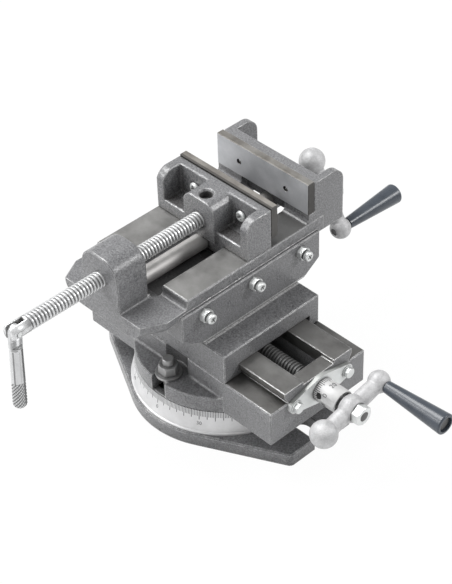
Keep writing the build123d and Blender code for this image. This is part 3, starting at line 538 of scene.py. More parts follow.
jawPlate = {"rough": (0.46, 0.58), "across": (0.15, 1.0, 1.0), "soft": True}
# Painted shade in corners, and bright edges, partly wear and partly a painted highlight
zinc = {"edge": grey(0.8), "markSize": 0.0012, "edgeShare": 0.3, "cornerShade": 0.85}
metalLooks = {
    "jawSteel": {**jawPlate, "dark": (0.365, 0.371, 0.385, 1), "light": (0.500, 0.507, 0.522, 1), "metallic": 0.55,
                 # Top and ends: painted shade, the top a browner tone
                 "sideShades": {"Z": ((0.120, 0.112, 0.100, 1), (0.235, 0.228, 0.215, 1)),
                           "X": ((0.040, 0.038, 0.036, 1), (0.075, 0.072, 0.068, 1))}},
    "jawSteelBack": {**jawPlate, "dark": (0.270, 0.274, 0.284, 1), "light": (0.365, 0.370, 0.380, 1),
                     "edge": grey(0.6), "metallic": 0.5,
                     # Top, ends and back: painted shade, the top a browner tone
                     "sideShades": {"Z": ((0.130, 0.120, 0.108, 1), (0.240, 0.228, 0.210, 1)),
                               "X": ((0.050, 0.048, 0.046, 1), (0.085, 0.082, 0.078, 1)),
                               "-Y": ((0.030, 0.028, 0.026, 1), (0.060, 0.057, 0.053, 1))},
                     # Painted shade along the plate's back edge, in the gap to the casting
                     "shadeStreak": {"Y": (25.0, 27.2), "Z": (174.1, 175.0)}},
    "barSteel": {"dark": grey(0.38, 0.02), "light": grey(0.54, 0.02), "rough": (0.52, 0.62),
                 "across": (1.0, 0.1, 1.0), "metallic": 0.8},
    "zincPlate": {**zinc, "dark": (0.62, 0.635, 0.63, 1), "light": (0.76, 0.775, 0.77, 1), "rough": (0.32, 0.44),
                  # A painted dark reflection at the outline
                  "metallic": 0.55, "rim": 0.6},
    "zincBearing": {**zinc, "dark": (0.62, 0.635, 0.63, 1), "light": (0.76, 0.775, 0.77, 1), "edge": grey(0.7),
                    "rough": (0.42, 0.52), "metallic": 0.45, "edgeShare": 0.2,
                    # Top faces: painted shade, toning down their reflection
                    "sideShades": {"Z": ((0.30, 0.31, 0.30, 1), (0.40, 0.41, 0.40, 1))}},
    "zincHandle": {**zinc, "dark": (0.50, 0.505, 0.51, 1), "light": (0.62, 0.625, 0.63, 1), "rough": (0.38, 0.48),
                   "metallic": 0.45,
                   # Painted shade in the knurl's grooves and along lines of the bar
                   "bar": {**handleBar, "knurlStart": 46.5 * mm, "grooves": {"ADD": 0.35, "SUBTRACT": 0.9},
                           "grooveEdge": (0.4, 0.75), "fade": 9, "colour": grey(0.05),
                           # From and to in degrees around, near and far along the bar, and how dark
                           "shades": [(143, 164, 16.5 * mm, 47 * mm, 0.8), (20, 84, 15 * mm, 80 * mm, 0.85),
                                      (86, 104, 16.5 * mm, 47 * mm, 0.25), (175, 250, 15 * mm, 47 * mm, 0.22),
                                      (105, 175, 14.7 * mm, 16.0 * mm, 0.5), (20, 175, 8 * mm, 14.6 * mm, 0.4)]}},
    "zincThread": {**zinc, "dark": (0.56, 0.565, 0.57, 1), "light": (0.72, 0.725, 0.73, 1), "rough": (0.30, 0.40),
                   # A painted dark reflection at the outline, and weak painted shade in corners
                   "edgeShare": 0.0, "cornerShade": 0.3, "cornerShadeReach": 0.0015, "metallic": 0.55, "rim": 0.7,
                   # Painted shade in the slot of the screw's fork
                   "shadeStreak": {"X": (-24.1, -19.3), "Y": (-188.0, -172.3), "Z": (146.0, 161.0)},
                   # Painted shade in the thread's roots
                   "valleyShade": {"centre": (viseX, -170.3 * mm, viseZ), "crest": 6.2 * mm, "root": 5.05 * mm,
                              "start": 0.0, "colour": (0.24, 0.24, 0.24, 1)}},
    "clampSteel": {"dark": grey(0.24), "light": grey(0.40), "rough": (0.34, 0.48), "metallic": 0.7, "soft": True,
                   # Painted shade in corners, and bright edges, partly wear and partly a painted highlight
                   "cornerShade": 0.8, "edgeShare": 0.8},
    "leadScrewSteel": {"dark": grey(0.09), "light": grey(0.16), "edge": grey(0.2), "rough": (0.50, 0.62),
                       "metallic": 0.6},
    "blackSteel": {"dark": grey(0.045), "light": grey(0.085), "edge": grey(0.3), "rough": (0.34, 0.48),
                   "metallic": 0.9},
    "nutIron": {"dark": grey(0.14), "light": grey(0.22), "edge": grey(0.4), "rough": (0.4, 0.55)},
}


# Sand-cast aluminium of the ball cranks
castAluminiumLook = {"dark": (0.34, 0.34, 0.345, 1), "light": (0.54, 0.54, 0.545, 1), "rough": (0.50, 0.64),
                     "grainDepth": 0.00022, "grainSize": 0.0012, "mottleSize": 0.006, "speckShare": 0.4,
                     # Painted shade in corners
                     "cornerShade": 0.75, "cornerShadeReach": 0.003, "metallic": 0.35}


def castAluminiumMaterial():
    look = castAluminiumLook
    material, tree, shader = newMaterial("castAluminium", {"Metallic": look["metallic"]})
    grain = castGrainNode(tree, look)
    patchy = mixValue(tree, look["speckShare"], remap(tree, grain["Mottle"], 0.34, 0.66), grain["Speckle"])
    colour = mixColour(tree, patchy, look["dark"], look["light"])
    rough = spread(tree, grain["Mottle"], *look["rough"])
    # Painted shade in corners
    cornerShade = groupNode(tree, crevice, {"Reach": look["cornerShadeReach"]})["Crevice"]
    colour = mixColour(tree, product(tree, cornerShade, look["cornerShade"]), colour, grey(0.05))
    feed(tree, shader, Base_Color=colour, Roughness=rough)
    bump(tree, shader, grain["Height"], 1.0, look["grainDepth"])
    return material


# Moulded plastic grips
gripLook = {"dark": (0.034, 0.041, 0.052, 1), "light": (0.058, 0.068, 0.083, 1), "rough": (0.26, 0.36),
            "grainSize": 0.0005, "grainDepth": 0.00003, "mottleSize": 0.02}


def gripMaterial():
    look = gripLook
    material, tree, shader = newMaterial("gripPlastic", {"IOR": 1.49})
    grain = castGrainNode(tree, look)
    colour = mixColour(tree, spread(tree, grain["Mottle"]), look["dark"], look["light"])
    feed(tree, shader, Base_Color=colour, Roughness=spread(tree, grain["Mottle"], *look["rough"]))
    bump(tree, shader, grain["Height"], 0.6, look["grainDepth"])
    return material


# Satin dials: a scale of fine dark lines, longer every fifth
def scaleMaterial(name, look):
    material, tree, shader = newMaterial(name, {"Metallic": look["metallic"]})
    parts = partsOf(tree, placeFrom(tree, look["centre"]))
    first, second, along = (parts["XYZ".index(c)] for c in look["axes"])
    turn = mathNode(tree, "DIVIDE", mathNode(tree, "ARCTAN2", second, first), 2 * pi)
    radius = lengthOf(tree, first, second)
    depth = product(tree, mathNode(tree, "SUBTRACT", look["start"], along), look["sense"])
    lines = 0.0
    for count, width, reach in look["ticks"]:
        share = mathNode(tree, "FRACT", mathNode(tree, "ADD", product(tree, turn, float(count)), 100.5))
        off = mathNode(tree, "ABSOLUTE", mathNode(tree, "SUBTRACT", share, 0.5))
        half = mathNode(tree, "DIVIDE", width * count / (2 * pi) / 2, radius)
        row = product(tree, mathNode(tree, "LESS_THAN", off, half), between(tree, depth, -look["above"], reach))
        lines = mathNode(tree, "MAXIMUM", lines, row)
    lines = product(tree, lines, mathNode(tree, "GREATER_THAN", radius, look["leastRadius"]))
    marks = millMarksNode(tree, look["across"], look["markSize"])
    plain = mixColour(tree, spread(tree, marks["Stain"]), look["dark"], look["light"])
    colour = mixColour(tree, product(tree, lines, look["ink"]), plain, look["inkColour"])
    feed(tree, shader, Base_Color=colour, Roughness=spread(tree, marks["Stain"], *look["rough"]))
    height = mathNode(tree, "SUBTRACT", product(tree, marks["Height"], look["markShare"]), lines)
    if "grooves" in look:
        low, high, spacing = look["grooves"]
        wave = mathNode(tree, "SINE", product(tree, along, 2 * pi / spacing))
        height = mathNode(tree, "ADD", height, product(tree, wave, between(tree, along, low, high)))
    bump(tree, shader, height, 0.8, look["depth"])
    return material


satin = {"dark": (0.56, 0.56, 0.565, 1), "light": (0.72, 0.72, 0.725, 1), "rough": (0.48, 0.58), "metallic": 0.6,
         "inkColour": (0.05, 0.05, 0.055, 1), "above": 2.0 * mm, "markSize": 0.0005, "markShare": 0.15,
         "depth": 0.00008}
ringLook = {**satin, "centre": (0, 0, 0), "axes": "XYZ", "start": 31.9 * mm, "sense": 1.0, "leastRadius": 71 * mm,
            "ticks": [(360, 0.5 * mm, 4.8 * mm), (72, 0.6 * mm, 7.0 * mm), (36, 0.6 * mm, 8.0 * mm)],
            "across": (0.2, 0.2, 1.0), "ink": 0.9, "grooves": (11.0 * mm, 15.4 * mm, 1.3 * mm)}
lowerDialLook = {**satin, "dark": (0.44, 0.44, 0.44, 1), "light": (0.58, 0.58, 0.575, 1), "rough": (0.52, 0.62),
                 "metallic": 0.3, "centre": (0, 0, lowerZ), "axes": "YZX", "start": 106.1 * mm, "sense": -1.0,
                 "leastRadius": 9 * mm, "across": (1.0, 0.2, 0.2), "ink": 1.0,
                 "ticks": [(40, 0.6 * mm, 4.4 * mm), (10, 0.65 * mm, 5.6 * mm)]}
upperDialLook = {**lowerDialLook, "centre": (viseX, 0, upperZ), "axes": "XZY", "start": 54.7 * mm,
                 "across": (0.2, 1.0, 0.2)}

# Machined faces, places with painted shade and some soot, and places with wear and a painted highlight, in
# millimetres
slideBands = [{"face": "Z", "within": {"Z": (63.0, 76.0)}},
              {"face": "Y", "either": True, "least": 0.4, "within": {"Z": (63.7, 76.0)}}]
saddleBands = [{"face": "Z", "within": {"Z": (119.0, 122.0)}},
               {"face": "X", "either": True, "least": 0.4, "within": {"Z": (90.6, 122.0)}}]
bodyBands = [{"face": "Z", "within": {"Z": (137.2, 138.0), "Y": (-63.0, 62.0)}}]
slideGround = {"groundDark": (0.130, 0.128, 0.124, 1.0), "groundLight": (0.225, 0.223, 0.217, 1.0)}
# Painted shade in corners on the saddle, weaker and nearer
saddleChanges = {"cornerShade": 0.25, "cornerShadeReach": 0.006}
# On the jaw: painted shade with some soot in its pocket, and stronger painted shade in corners
jawChanges = {"edgeWidth": 0.0020, "sootAndShade": (0.022, 0.018, 0.015, 1.0), "cornerShade": 0.7, "paintRough": (0.20, 0.30),
              "grainDepth": 0.00016}
# The jaw's pocket: painted shade with some soot
pocketSpan = {"X": (-64.0, 20.6), "Y": (1.8, 11.5), "Z": (140.0, 148.3)}
# Bright edges on the body, partly wear and partly a painted highlight, a little dimmer
bodyChanges = {"wearAndHighlightColour": (0.44, 0.44, 0.44, 1.0)}
# Along the skirt's foot, on the body and on the saddle beside it: a painted highlight, partly wear
footWearAndHighlightSpan = {"X": (30.9, 33.0), "Y": (-51.0, 58.0), "Z": (88.0, 93.2)}
besideFootWearAndHighlightSpan = {"X": (31.2, 33.5), "Y": (-50.0, 57.0), "Z": (89.5, 90.8)}
# The trough, and the rail tops between the jaws: painted shade with some soot
troughShadeSpan = {"X": (-46.3, 2.9), "Y": (-62.5, 62.0), "Z": (100.0, 137.0)}
railSpan = {"X": (-73.0, 30.0), "Y": (26.0, 66.0), "Z": (137.2, 139.0)}

materials = {
    "castBase": castingMaterial("castBase", []),
    "castSlide": castingMaterial("castSlide", slideBands, (0.08, 1.0, 1.0), slideGround),
    "castSaddle": castingMaterial("castSaddle", saddleBands, (1.0, 0.08, 1.0), saddleChanges, wearAndHighlightSpan=besideFootWearAndHighlightSpan),
    "castBody": castingMaterial("castBody", bodyBands, (1.0, 0.08, 1.0), bodyChanges,
                                [(troughShadeSpan, 0.6), (railSpan, 0.6)], footWearAndHighlightSpan),
    "castJaw": castingMaterial("castJaw", [], (0.08, 1.0, 1.0), jawChanges, [(pocketSpan, 0.48)]),
    "castAluminium": castAluminiumMaterial(),
    "gripPlastic": gripMaterial(),
}
for name, look in (("ringScale", ringLook), ("lowerDialScale", lowerDialLook), ("upperDialScale", upperDialLook)):
    materials[name] = scaleMaterial(name, look)
materials.update({name: metalMaterial(name, look) for name, look in metalLooks.items()})

# A node's own material, or else its slot's
slotMaterial = {"machined_steel": "jawSteel", "zinc": "zincPlate", "dark_steel": "leadScrewSteel",
                "black_oxide": "blackSteel", "cast_aluminium": "castAluminium", "grip_plastic": "gripPlastic",
                "nut_iron": "nutIron"}
nodeMaterial = {"base_plate": "castBase", "lower_slide": "castSlide", "cross_saddle": "castSaddle",
                "vise_body": "castBody", "movable_jaw": "castJaw", "degree_ring": "ringScale",
                "lower_dial_collar": "lowerDialScale", "upper_dial_collar": "upperDialScale",
                "lower_bearing_plate": "zincBearing", "upper_bearing_plate": "zincBearing",
                "upper_nut_screws": "nutIron", "guide_bar": "barSteel", "vise_screw": "zincThread",
                "vise_handle": "zincHandle", "movable_jaw_plate": "jawSteelBack",
                **{"swivel_clamp_" + piece: "clampSteel" for piece in ("studs", "nuts", "washers")}}


def materialFor(node):
    return materials[nodeMaterial.get(node) or slotMaterial[slotOf[node]]]


def dress(piece, material):
    piece.data.materials.clear()
    piece.data.materials.append(material)


def replaceNode(node, name, mesh):
    piece = addMesh(name, mesh, bodyOf[node])
    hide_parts(node)
    dress(piece, materialFor(node))


for node, piece in cad.items():
    for i in range(len(piece.data.materials)):
        piece.data.materials[i] = materialFor(node)
print("materials on the frame's own nodes")


# Threads
viseThread = {"pitch": 3.0 * mm, "crest": 6.5 * mm, "root": 5.0 * mm, "low": 0.24, "high": 0.66, "runOut": 1.2 * mm}
leadThread = {**viseThread, "crest": 7.0 * mm, "root": 5.6 * mm, "low": 0.30}
screws = {"vise_screw": (viseThread, -170.5 * mm, 3.4 * mm, viseAxis),
          "lower_lead_screw": (leadThread, -88.0 * mm, 99.3 * mm, lowerAxis),
          "upper_lead_screw": (leadThread, -37.0 * mm, 47.9 * mm, upperAxis)}
threadOverlap = 0.2 * mm


def threadRadius(thread, start, end):
    # Radius of a right-hand thread that runs out at both ends.
    def radiusAt(a, t):
        phase = (a / thread["pitch"] - t / (2 * pi)) % 1.0
        ridge = 1 - np.abs(2 * phase - 1)
        rise = np.clip((ridge - thread["low"]) / (thread["high"] - thread["low"]), 0, 1)
        rise = rise * rise * (3 - 2 * rise)
        full = thread["root"] + (thread["crest"] - thread["root"]) * rise
        ends = np.clip(np.minimum(a - start, end - a) / thread["runOut"], 0, 1)
        return thread["root"] + (full - thread["root"]) * ends
    return radiusAt


def threadedPiece(node, thread, start, end, place, perTurn=24, steps=48):
    # The node's own ends on each side of a helical thread.
    name = node + "_threaded"
    count = int(round((end - start) / thread["pitch"] * perTurn))
    helix = turnedMesh(name, np.linspace(start, end, count + 1), threadRadius(thread, start, end), steps, place)
    direction = place.to_3x3() @ Vector((1, 0, 0))
    before = cutCopy(node, place @ Vector((start + threadOverlap, 0, 0)), direction)
    after = cutCopy(node, place @ Vector((end - threadOverlap, 0, 0)), -direction)
    replaceNode(node, name, joinMeshes(name, [helix, before, after], 75))


for node, screw in screws.items():
    threadedPiece(node, *screw)
print("threads cut")


# Folding handle with a flat on its side and a knurled end
handleLook = {**handleBar, "barStart": 14.0 * mm, "length": 71.3 * mm, "topRadius": 5.0 * mm, "endRadius": 5.6 * mm,
              "flatFrom": 16.5 * mm, "flatTo": 47.5 * mm, "flatDepth": 0.65 * mm, "flatTurn": 116,
              "flatEase": 0.8 * mm, "knurlStart": 46.0 * mm, "knurlEase": 1.5 * mm, "knurlDepth": 0.45 * mm,
              "tipShare": 0.8, "topOverlap": 0.4 * mm}


def knurledHandle():
    look = handleLook
    pivot = Vector(look["pivot"])
    hung = Matrix.Translation(pivot) @ Matrix.Rotation(radians(look["hang"]), 4, "X")
    place = hung @ Matrix.Rotation(pi / 2, 4, "Y")
    start, end = look["barStart"], look["length"]
    dome = look["tipShare"] * look["endRadius"]

    def radiusAt(a, t):
        full = look["topRadius"] + (look["endRadius"] - look["topRadius"]) * (a - start) / (end - start)
        tip = np.clip((end - a) / (look["tipShare"] * full), 0, 1)
        rounded = full * (0.2 + 0.8 * np.sqrt(np.clip(1 - (1 - tip) ** 2, 0, 1)))
        off = (t - radians(look["flatTurn"]) + pi) % (2 * pi) - pi
        chord = (full - look["flatDepth"]) / np.maximum(np.cos(off), 0.05)
        ends = np.clip(np.minimum(a - look["flatFrom"], look["flatTo"] - a) / look["flatEase"], 0, 1)
        flat = np.where(np.abs(off) < pi / 2, np.minimum(rounded, chord), rounded)
        plain = rounded + (flat - rounded) * ends
        one = (look["diamonds"] * (t / (2 * pi) + a / look["lead"] / 2)) % 1.0
        two = (look["diamonds"] * (t / (2 * pi) - a / look["lead"] / 2)) % 1.0
        ridge = np.minimum(1 - np.abs(2 * one - 1), 1 - np.abs(2 * two - 1))
        fade = np.clip((a - look["knurlStart"]) / look["knurlEase"], 0, 1) * tip
        return plain - look["knurlDepth"] * fade * (1 - np.clip(ridge * 1.5, 0, 1)) * (1 - ends)

    shaft = np.linspace(start, end - dome, 200, endpoint=False)
    tip = end - dome * np.cos(np.linspace(0, pi / 2, 12))
    bar = turnedMesh("bar", np.concatenate([shaft, tip]), radiusAt, 180, place)
    top = cutCopy("vise_handle", pivot - Vector((0, 0, start + look["topOverlap"])), (0, 0, -1))
    top.transform(hung @ Matrix.Translation(-pivot))
    replaceNode("vise_handle", "vise_handle_knurled", joinMeshes("vise_handle_knurled", [top, bar]))


knurledHandle()
print("handle knurled")


# Ball cranks, softened as a casting is
crankLook = {"voxel": 0.55 * mm, "smoothing": 6, "factor": 0.5, "hubReach": 13.0 * mm, "blend": 3.0 * mm,
             "shrink": 0.06, "backShrink": 0.17, "backReach": 11.0 * mm}
hubs = {"lower_crank": (lowerAxis, 135.9 * mm), "upper_crank": (upperAxis, 137.8 * mm)}


def slimHub(mesh, place, reach):
    # Draws the hub in towards its centre, more on the dial's side.
    look = crankLook
    centre = place @ Vector((reach, 0, 0))
    outward = place.to_3x3() @ Vector((1, 0, 0))
    for vertex in mesh.vertices:
        offset = vertex.co - centre
        near = min(max((look["hubReach"] - offset.length) / look["blend"], 0), 1)
        if near > 0:
            behind = max(-offset.dot(outward) / look["backReach"], 0)
            vertex.co -= offset * near * near * (3 - 2 * near) * (look["shrink"] + look["backShrink"] * behind)


def softened(name, source, look):
    return modified(name, source, [("REMESH", {"mode": "VOXEL", "voxel_size": look["voxel"]}),
                                   ("SMOOTH", {"iterations": look["smoothing"], "factor": look["factor"]})])


for node, hub in hubs.items():
    mesh = softened(node + "_cast", bareCopy(node), crankLook)
    slimHub(mesh, *hub)
    mesh.shade_smooth()
    replaceNode(node, node + "_cast", mesh)
print("cranks cast")


# Dials, hollow at the end that faces the crank
collarLook = {"radius": 8.7 * mm, "depth": 4.6 * mm, "past": 2.0 * mm}


def cylinderMesh(radius, start, end, place, steps=64):
    return turnedMesh("cylinder", [start, end], lambda a, t: radius + 0 * a, steps, place)


def hollowCollar(node, face, place):
    look = collarLook
    cutter = cylinderMesh(look["radius"], face - look["depth"], face + look["past"], place)
    mesh = carve(node + "_hollow", bareCopy(node), [cutter])
    smoothByAngle(mesh, 30)
    replaceNode(node, node + "_hollow", mesh)


hollowCollar("lower_dial_collar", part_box("lower_dial_collar")[1].x, lowerAxis)
hollowCollar("upper_dial_collar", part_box("upper_dial_collar")[1].y, upperAxis)
print("dials hollowed")


# Movable jaw, with the soft corners of its casting and machined bores
jawLook = {"front": 0.2 * mm, "bossFront": -2.6 * mm, "bossHalf": 16.6 * mm, "shoulder": 7.4 * mm,
           "facet": (0.16, 0.62), "bottom": 137.7 * mm, "slabTop": 147.6 * mm, "inset": 3.0 * mm,
           "voxel": 0.5 * mm, "smoothing": 3, "factor": 0.5,
           "railTop": 137.5 * mm, "troughHalf": 24.0 * mm, "clearance": 0.15 * mm}
jawHoles = {"front": -8.0 * mm, "back": 30.0 * mm, "screwRadius": 6.7 * mm, "screwEnd": 14.3 * mm,
            "barRadius": 7.0 * mm, "barZ": 131.4 * mm, "topRadius": 5.2 * mm, "topY": 6.0 * mm, "sink": 1.0 * mm,
            "sinkOver": 0.4 * mm, "plateRadius": 2.9 * mm, "plateSide": 25.5 * mm, "plateRise": 5.0 * mm,
            "plateFront": 14.0 * mm}


def prismMesh(points, start, end, place):
    # A polygon in local Y and Z, drawn out along local X.
    work = bmesh.new()
    rings = [[work.verts.new((x, *point)) for point in points] for x in (start, end)]
    count = len(points)
    work.faces.new(rings[0])
    work.faces.new(rings[1][::-1])
    for i in range(count):
        j = (i + 1) % count
        work.faces.new((rings[0][i], rings[1][i], rings[1][j], rings[0][j]))
    bmesh.ops.recalc_face_normals(work, faces=work.faces)
    work.transform(place)
    mesh = bpy.data.meshes.new("prism")
    work.to_mesh(mesh)
    work.free()
    return mesh


def clearRails(mesh):
    # Lifts the foot off the rails, draws the keel in from the trough's walls and eases the corner between.
    look = jawLook
    gap = look["clearance"]
    for vertex in mesh.vertices:
        side = 1 if vertex.co.x > viseX else -1
        over = abs(vertex.co.x - viseX) - look["troughHalf"]
        under = look["railTop"] - vertex.co.z
        if over > -gap and under > -gap:
            over, under = (over, -gap) if under < over else (-gap, under)
        push = (over + under + gap) / 2
        if max(abs(over), abs(under)) < 1 * mm and push > 0:
            over, under = over - push, under - push
        vertex.co.x = viseX + side * (look["troughHalf"] + over)
        vertex.co.z = look["railTop"] - under


def roughJaw(low, high):
    # The node's back, with a slab for the floor and an arched boss in place of its front.
    look = jawLook
    top, back, bottom, inset = high.z, high.y, look["bottom"], look["inset"]
    half, shoulder, (less, more) = look["bossHalf"], look["shoulder"], look["facet"]
    rise = [(half, top - shoulder), (half - shoulder * less, top - shoulder * more),
            (half - shoulder * more, top - shoulder * less), (half - shoulder, top)]
    arch = [(-half, bottom), (half, bottom), *rise, *[(-y, z) for y, z in rise[::-1]]]
    alongY = Matrix.Translation((viseX, 0, 0)) @ Matrix.Rotation(pi / 2, 4, "Z")
    boss = prismMesh(arch, look["bossFront"], back - inset, alongY)
    slabSize = (high.x - low.x - inset, back - look["front"] - inset, look["slabTop"] - bottom)
    slabCentre = (viseX, (back + look["front"] - inset) / 2, (look["slabTop"] + bottom) / 2)
    rear = cutCopy("movable_jaw", (0, look["front"], 0), (0, -1, 0))
    return joinMeshes("jaw_rough", [rear, boss, blockMesh(slabSize, Matrix.Translation(slabCentre))])


def jawCutters(top):
    holes = jawHoles
    upright = Matrix.Translation((viseX, holes["topY"], 0)) @ Matrix.Rotation(-pi / 2, 4, "Y")
    bar = Matrix.Translation((0, 0, holes["barZ"] - viseZ)) @ viseAxis
    sinkStart = top - holes["sink"] - holes["sinkOver"]
    sink = turnedMesh("sink", [sinkStart, top + 1 * mm],
                      lambda a, t: holes["topRadius"] + a - sinkStart + 0 * t, 64, upright)
    cutters = [cylinderMesh(holes["screwRadius"], holes["front"], holes["screwEnd"], viseAxis),
               cylinderMesh(holes["barRadius"], holes["front"], holes["back"], bar),
               cylinderMesh(holes["topRadius"], viseZ, top + 3 * mm, upright), sink]
    for side in (-1, 1):
        place = Matrix.Translation((side * holes["plateSide"], 0, holes["plateRise"])) @ viseAxis
        cutters.append(cylinderMesh(holes["plateRadius"], holes["plateFront"], holes["back"], place, 32))
    return cutters


def castJaw():
    low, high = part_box("movable_jaw")
    soft = softened("jaw_soft", roughJaw(low, high), jawLook)
    clearRails(soft)
    mesh = carve("movable_jaw_cast", soft, jawCutters(high.z))
    smoothByAngle(mesh, 40)
    replaceNode("movable_jaw", "movable_jaw_cast", mesh)


castJaw()
print("movable jaw cast")


# Numbers on the ring and the dials
ringNumbers = {"every": 30, "size": 4.4 * mm, "height": 20.5 * mm, "proud": 0.06 * mm,
               "foot": (75.2 * mm, 13.4 * mm), "top": (72.0 * mm, 32.0 * mm)}
dialNumbers = {"values": ["0", "20", "40", "60", "80", "100"], "size": 5.6 * mm, "along": 10.9 * mm,
               "proud": 0.05 * mm, "turn": 146, "radius": 10.0 * mm}


def numberMesh(text, size, proud):
    curve = bpy.data.curves.new("number", "FONT")
    curve.body = text
    curve.size = size
    curve.extrude = proud
    curve.align_x = curve.align_y = "CENTER"
    holder = bpy.data.objects.new("number", curve)
    bpy.context.scene.collection.objects.link(holder)
    mesh = evaluatedMesh(holder)
    bpy.data.objects.remove(holder)
    return mesh


def placedNumber(text, look, origin, right, up):
    mesh = numberMesh(text, look["size"], look["proud"])
    outward = right.cross(up)
    place = Matrix((right, up, outward)).transposed().to_4x4()
    place.translation = origin
    mesh.transform(place)
    return mesh


inkLook = {"dark": (0.03, 0.03, 0.032, 1), "light": (0.12, 0.12, 0.125, 1), "grainSize": 0.0004,
           "mottleSize": 0.002}
inkMaterial, inkTree, inkShader = newMaterial("scaleInk", {"Roughness": 0.6})
inkMottle = castGrainNode(inkTree, inkLook)["Mottle"]
feed(inkTree, inkShader, Base_Color=mixColour(inkTree, inkMottle, inkLook["dark"], inkLook["light"]))


def numberPiece(name, meshes, body):
    dress(addMesh(name, joinMeshes(name, meshes), body), inkMaterial)


def placeRingNumbers():
    look = ringNumbers
    (footR, footZ), (topR, topZ) = look["foot"], look["top"]
    lean = atan2(footR - topR, topZ - footZ)
    radius = footR + (topR - footR) * (look["height"] - footZ) / (topZ - footZ)
    meshes = []
    for step in range(0, 360, look["every"]):
        value = min(step, 360 - step)
        value = value if value <= 90 else 180 - value
        angle = radians(step - 90)
        out = Vector((cos(angle) * cos(lean), sin(angle) * cos(lean), sin(lean)))
        up = Vector((-cos(angle) * sin(lean), -sin(angle) * sin(lean), cos(lean)))
        origin = Vector((cos(angle) * radius, sin(angle) * radius, look["height"]))
        meshes.append(placedNumber(str(value), look, origin, up.cross(out), up))
    numberPiece("ring_numbers", meshes, "base")


def placeDialNumbers(prefix, face, place):
    look = dialNumbers
    meshes = []
    for i, text in enumerate(look["values"]):
        angle = radians(look["turn"] - 360 / len(look["values"]) * i)
        out = Vector((0, cos(angle), sin(angle)))
        up = Vector((-1, 0, 0))
        origin = out * look["radius"] + Vector((face + look["along"], 0, 0))
        mesh = placedNumber(text, look, origin, up.cross(out), up)
        mesh.transform(place)
        meshes.append(mesh)
    numberPiece(prefix + "_dial_numbers", meshes, prefix + "_feed")


placeRingNumbers()
placeDialNumbers("lower", 105.9 * mm, lowerAxis)
placeDialNumbers("upper", 54.5 * mm, upperAxis)
print("numbers placed")


# Recesses in the screw heads
recess = {"length": 4.6 * mm, "width": 0.9 * mm, "depth": 1.3 * mm, "turn": 0.5}
# For each row of screws, which way the heads face and where they stand along the other axis
headRows = {"upper_gib_screws": ((1, 0, 0), (-49.0 * mm, 2.1 * mm, 53.2 * mm)),
            "lower_gib_screws": ((0, 1, 0), (viseX - 50.5 * mm, viseX, viseX + 50.5 * mm)),
            "movable_jaw_screws": ((0, -1, 0), (viseX - 25.5 * mm, viseX + 25.5 * mm)),
            "fixed_jaw_screws": ((0, 1, 0), (viseX - 25.5 * mm, viseX + 25.5 * mm))}


def crossCutters(centres, outward):
    # Two crossed slots at each head's centre, sunk against the outward direction.
    cutters = []
    facing = outward.to_track_quat("Z", "Y").to_matrix().to_4x4()
    size = (recess["length"], recess["width"], 2 * recess["depth"])
    for centre in centres:
        for angle in (recess["turn"], recess["turn"] + pi / 2):
            place = Matrix.Translation(centre) @ facing @ Matrix.Rotation(angle, 4, "Z")
            cutters.append(blockMesh(size, place))
    return cutters


for node, (outward, stations) in headRows.items():
    low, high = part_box(node)
    face = high if sum(outward) > 0 else low
    height = (low.z + high.z) / 2
    centres = [Vector((face.x, s, height) if outward[0] else (s, face.y, height)) for s in stations]
    mesh = carve(node + "_recessed", bareCopy(node), crossCutters(centres, Vector(outward)))
    smoothByAngle(mesh, 30)
    replaceNode(node, node + "_recessed", mesh)
print("screw heads recessed")


# Floor, light and camera
stageLook = {"floorColour": (0.86, 0.86, 0.86, 1), "size": 6.0, "shadowShare": 0.03, "shinyShare": 0.75}


def makeFloor():
    look = stageLook
    work = bmesh.new()
    bmesh.ops.create_grid(work, x_segments=2, y_segments=2, size=look["size"])
    mesh = bpy.data.meshes.new("floor")
    work.to_mesh(mesh)
    work.free()
    floor = bpy.data.objects.new("floor", mesh)
    bpy.context.scene.collection.objects.link(floor)
    material = bpy.data.materials.new("paleFloor")
    material.use_nodes = True
    tree = material.node_tree
    tree.nodes.clear()
    diffuse = addNode(tree, "ShaderNodeBsdfDiffuse", {"Color": look["floorColour"]})
    glow = addNode(tree, "ShaderNodeEmission", {"Color": (1, 1, 1, 1), "Strength": 1.0})
    path = addNode(tree, "ShaderNodeLightPath").outputs
    shiny = product(tree, path["Is Glossy Ray"], look["shinyShare"])
    seen = mathNode(tree, "MAXIMUM", path["Is Camera Ray"], shiny)
    seen = mathNode(tree, "MAXIMUM", seen, path["Is Transmission Ray"])
    share = product(tree, seen, 1 - look["shadowShare"])
    mixed = addNode(tree, "ShaderNodeMixShader", {0: share, 1: diffuse.outputs[0], 2: glow.outputs[0]})
    output = tree.nodes.new("ShaderNodeOutputMaterial")
    tree.links.new(mixed.outputs[0], output.inputs["Surface"])
    dress(floor, material)


worldLook = {"ambient": 0.58}


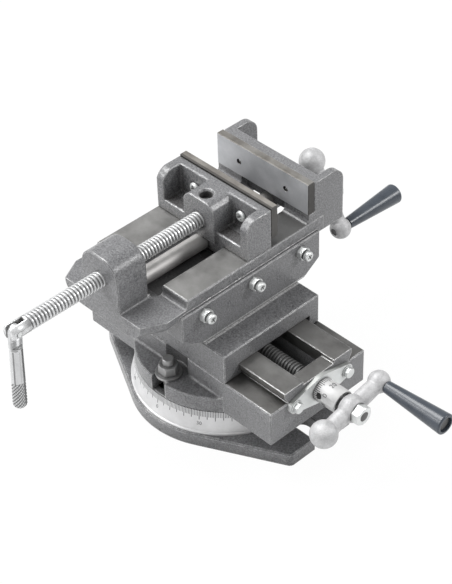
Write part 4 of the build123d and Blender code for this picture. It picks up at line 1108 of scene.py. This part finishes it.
def makeWorld():
    world = bpy.data.worlds.new("studio")
    bpy.context.scene.world = world
    world.use_nodes = True
    tree = world.node_tree
    tree.nodes.clear()
    path = addNode(tree, "ShaderNodeLightPath").outputs
    seen = mathNode(tree, "MAXIMUM", path["Is Camera Ray"], path["Is Transmission Ray"])
    strength = mixValue(tree, seen, worldLook["ambient"], 1.0)
    glow = addNode(tree, "ShaderNodeBackground", {"Color": (1, 1, 1, 1), "Strength": strength})
    output = tree.nodes.new("ShaderNodeOutputWorld")
    tree.links.new(glow.outputs[0], output.inputs["Surface"])


lamps = {
    "keyLamp": {"place": (-1.1, -1.5, 1.3), "size": 1.9, "power": 22.0},
    "glintLamp": {"place": (-1.27, -1.42, 1.25), "size": 0.34, "power": 6.0},
    "topLamp": {"place": (-0.85, -0.25, 1.75), "size": 1.1, "power": 36.0},
    "rightLamp": {"place": (1.5, 1.2, 1.3), "size": 0.55, "power": 20.0},
}
lampTarget = Vector((0, 0, 0.09))


def makeLamps():
    for name, look in lamps.items():
        data = bpy.data.lights.new(name, "AREA")
        data.shape = "DISK"
        data.size = look["size"]
        data.energy = look["power"]
        lamp = bpy.data.objects.new(name, data)
        bpy.context.scene.collection.objects.link(lamp)
        lamp.location = look["place"]
        lamp.rotation_mode = "QUATERNION"
        lamp.rotation_quaternion = (lampTarget - lamp.location).to_track_quat("-Z", "Y")


cameraLook = {"azimuth": 47.304, "elevation": 40.205, "roll": -1.957, "focalPixels": 1809.77, "frameHeight": 584,
              "distance": 1.45909, "right": 0.00024, "up": -0.07025}


def makeCamera():
    look = cameraLook
    a, e, r = (radians(look[key]) for key in ("azimuth", "elevation", "roll"))
    right = Vector((cos(a), sin(a), 0))
    back = Vector((sin(a) * cos(e), -cos(a) * cos(e), sin(e)))
    up = back.cross(right)
    turned = (right * cos(r) + up * sin(r), up * cos(r) - right * sin(r), back)
    rotation = Matrix(turned).transposed()
    data = bpy.data.cameras.new("camera")
    data.sensor_width = 36.0
    data.lens = look["focalPixels"] * data.sensor_width / look["frameHeight"]
    data.clip_start = 0.01
    data.clip_end = 50.0
    camera = bpy.data.objects.new("camera", data)
    bpy.context.scene.collection.objects.link(camera)
    place = rotation @ Vector((-look["right"], -look["up"], look["distance"]))
    camera.matrix_world = Matrix.Translation(place) @ rotation.to_4x4()
    bpy.context.scene.camera = camera


makeFloor()
makeWorld()
makeLamps()
makeCamera()
bpy.context.scene.view_settings.view_transform = "Standard"
print("stage set")
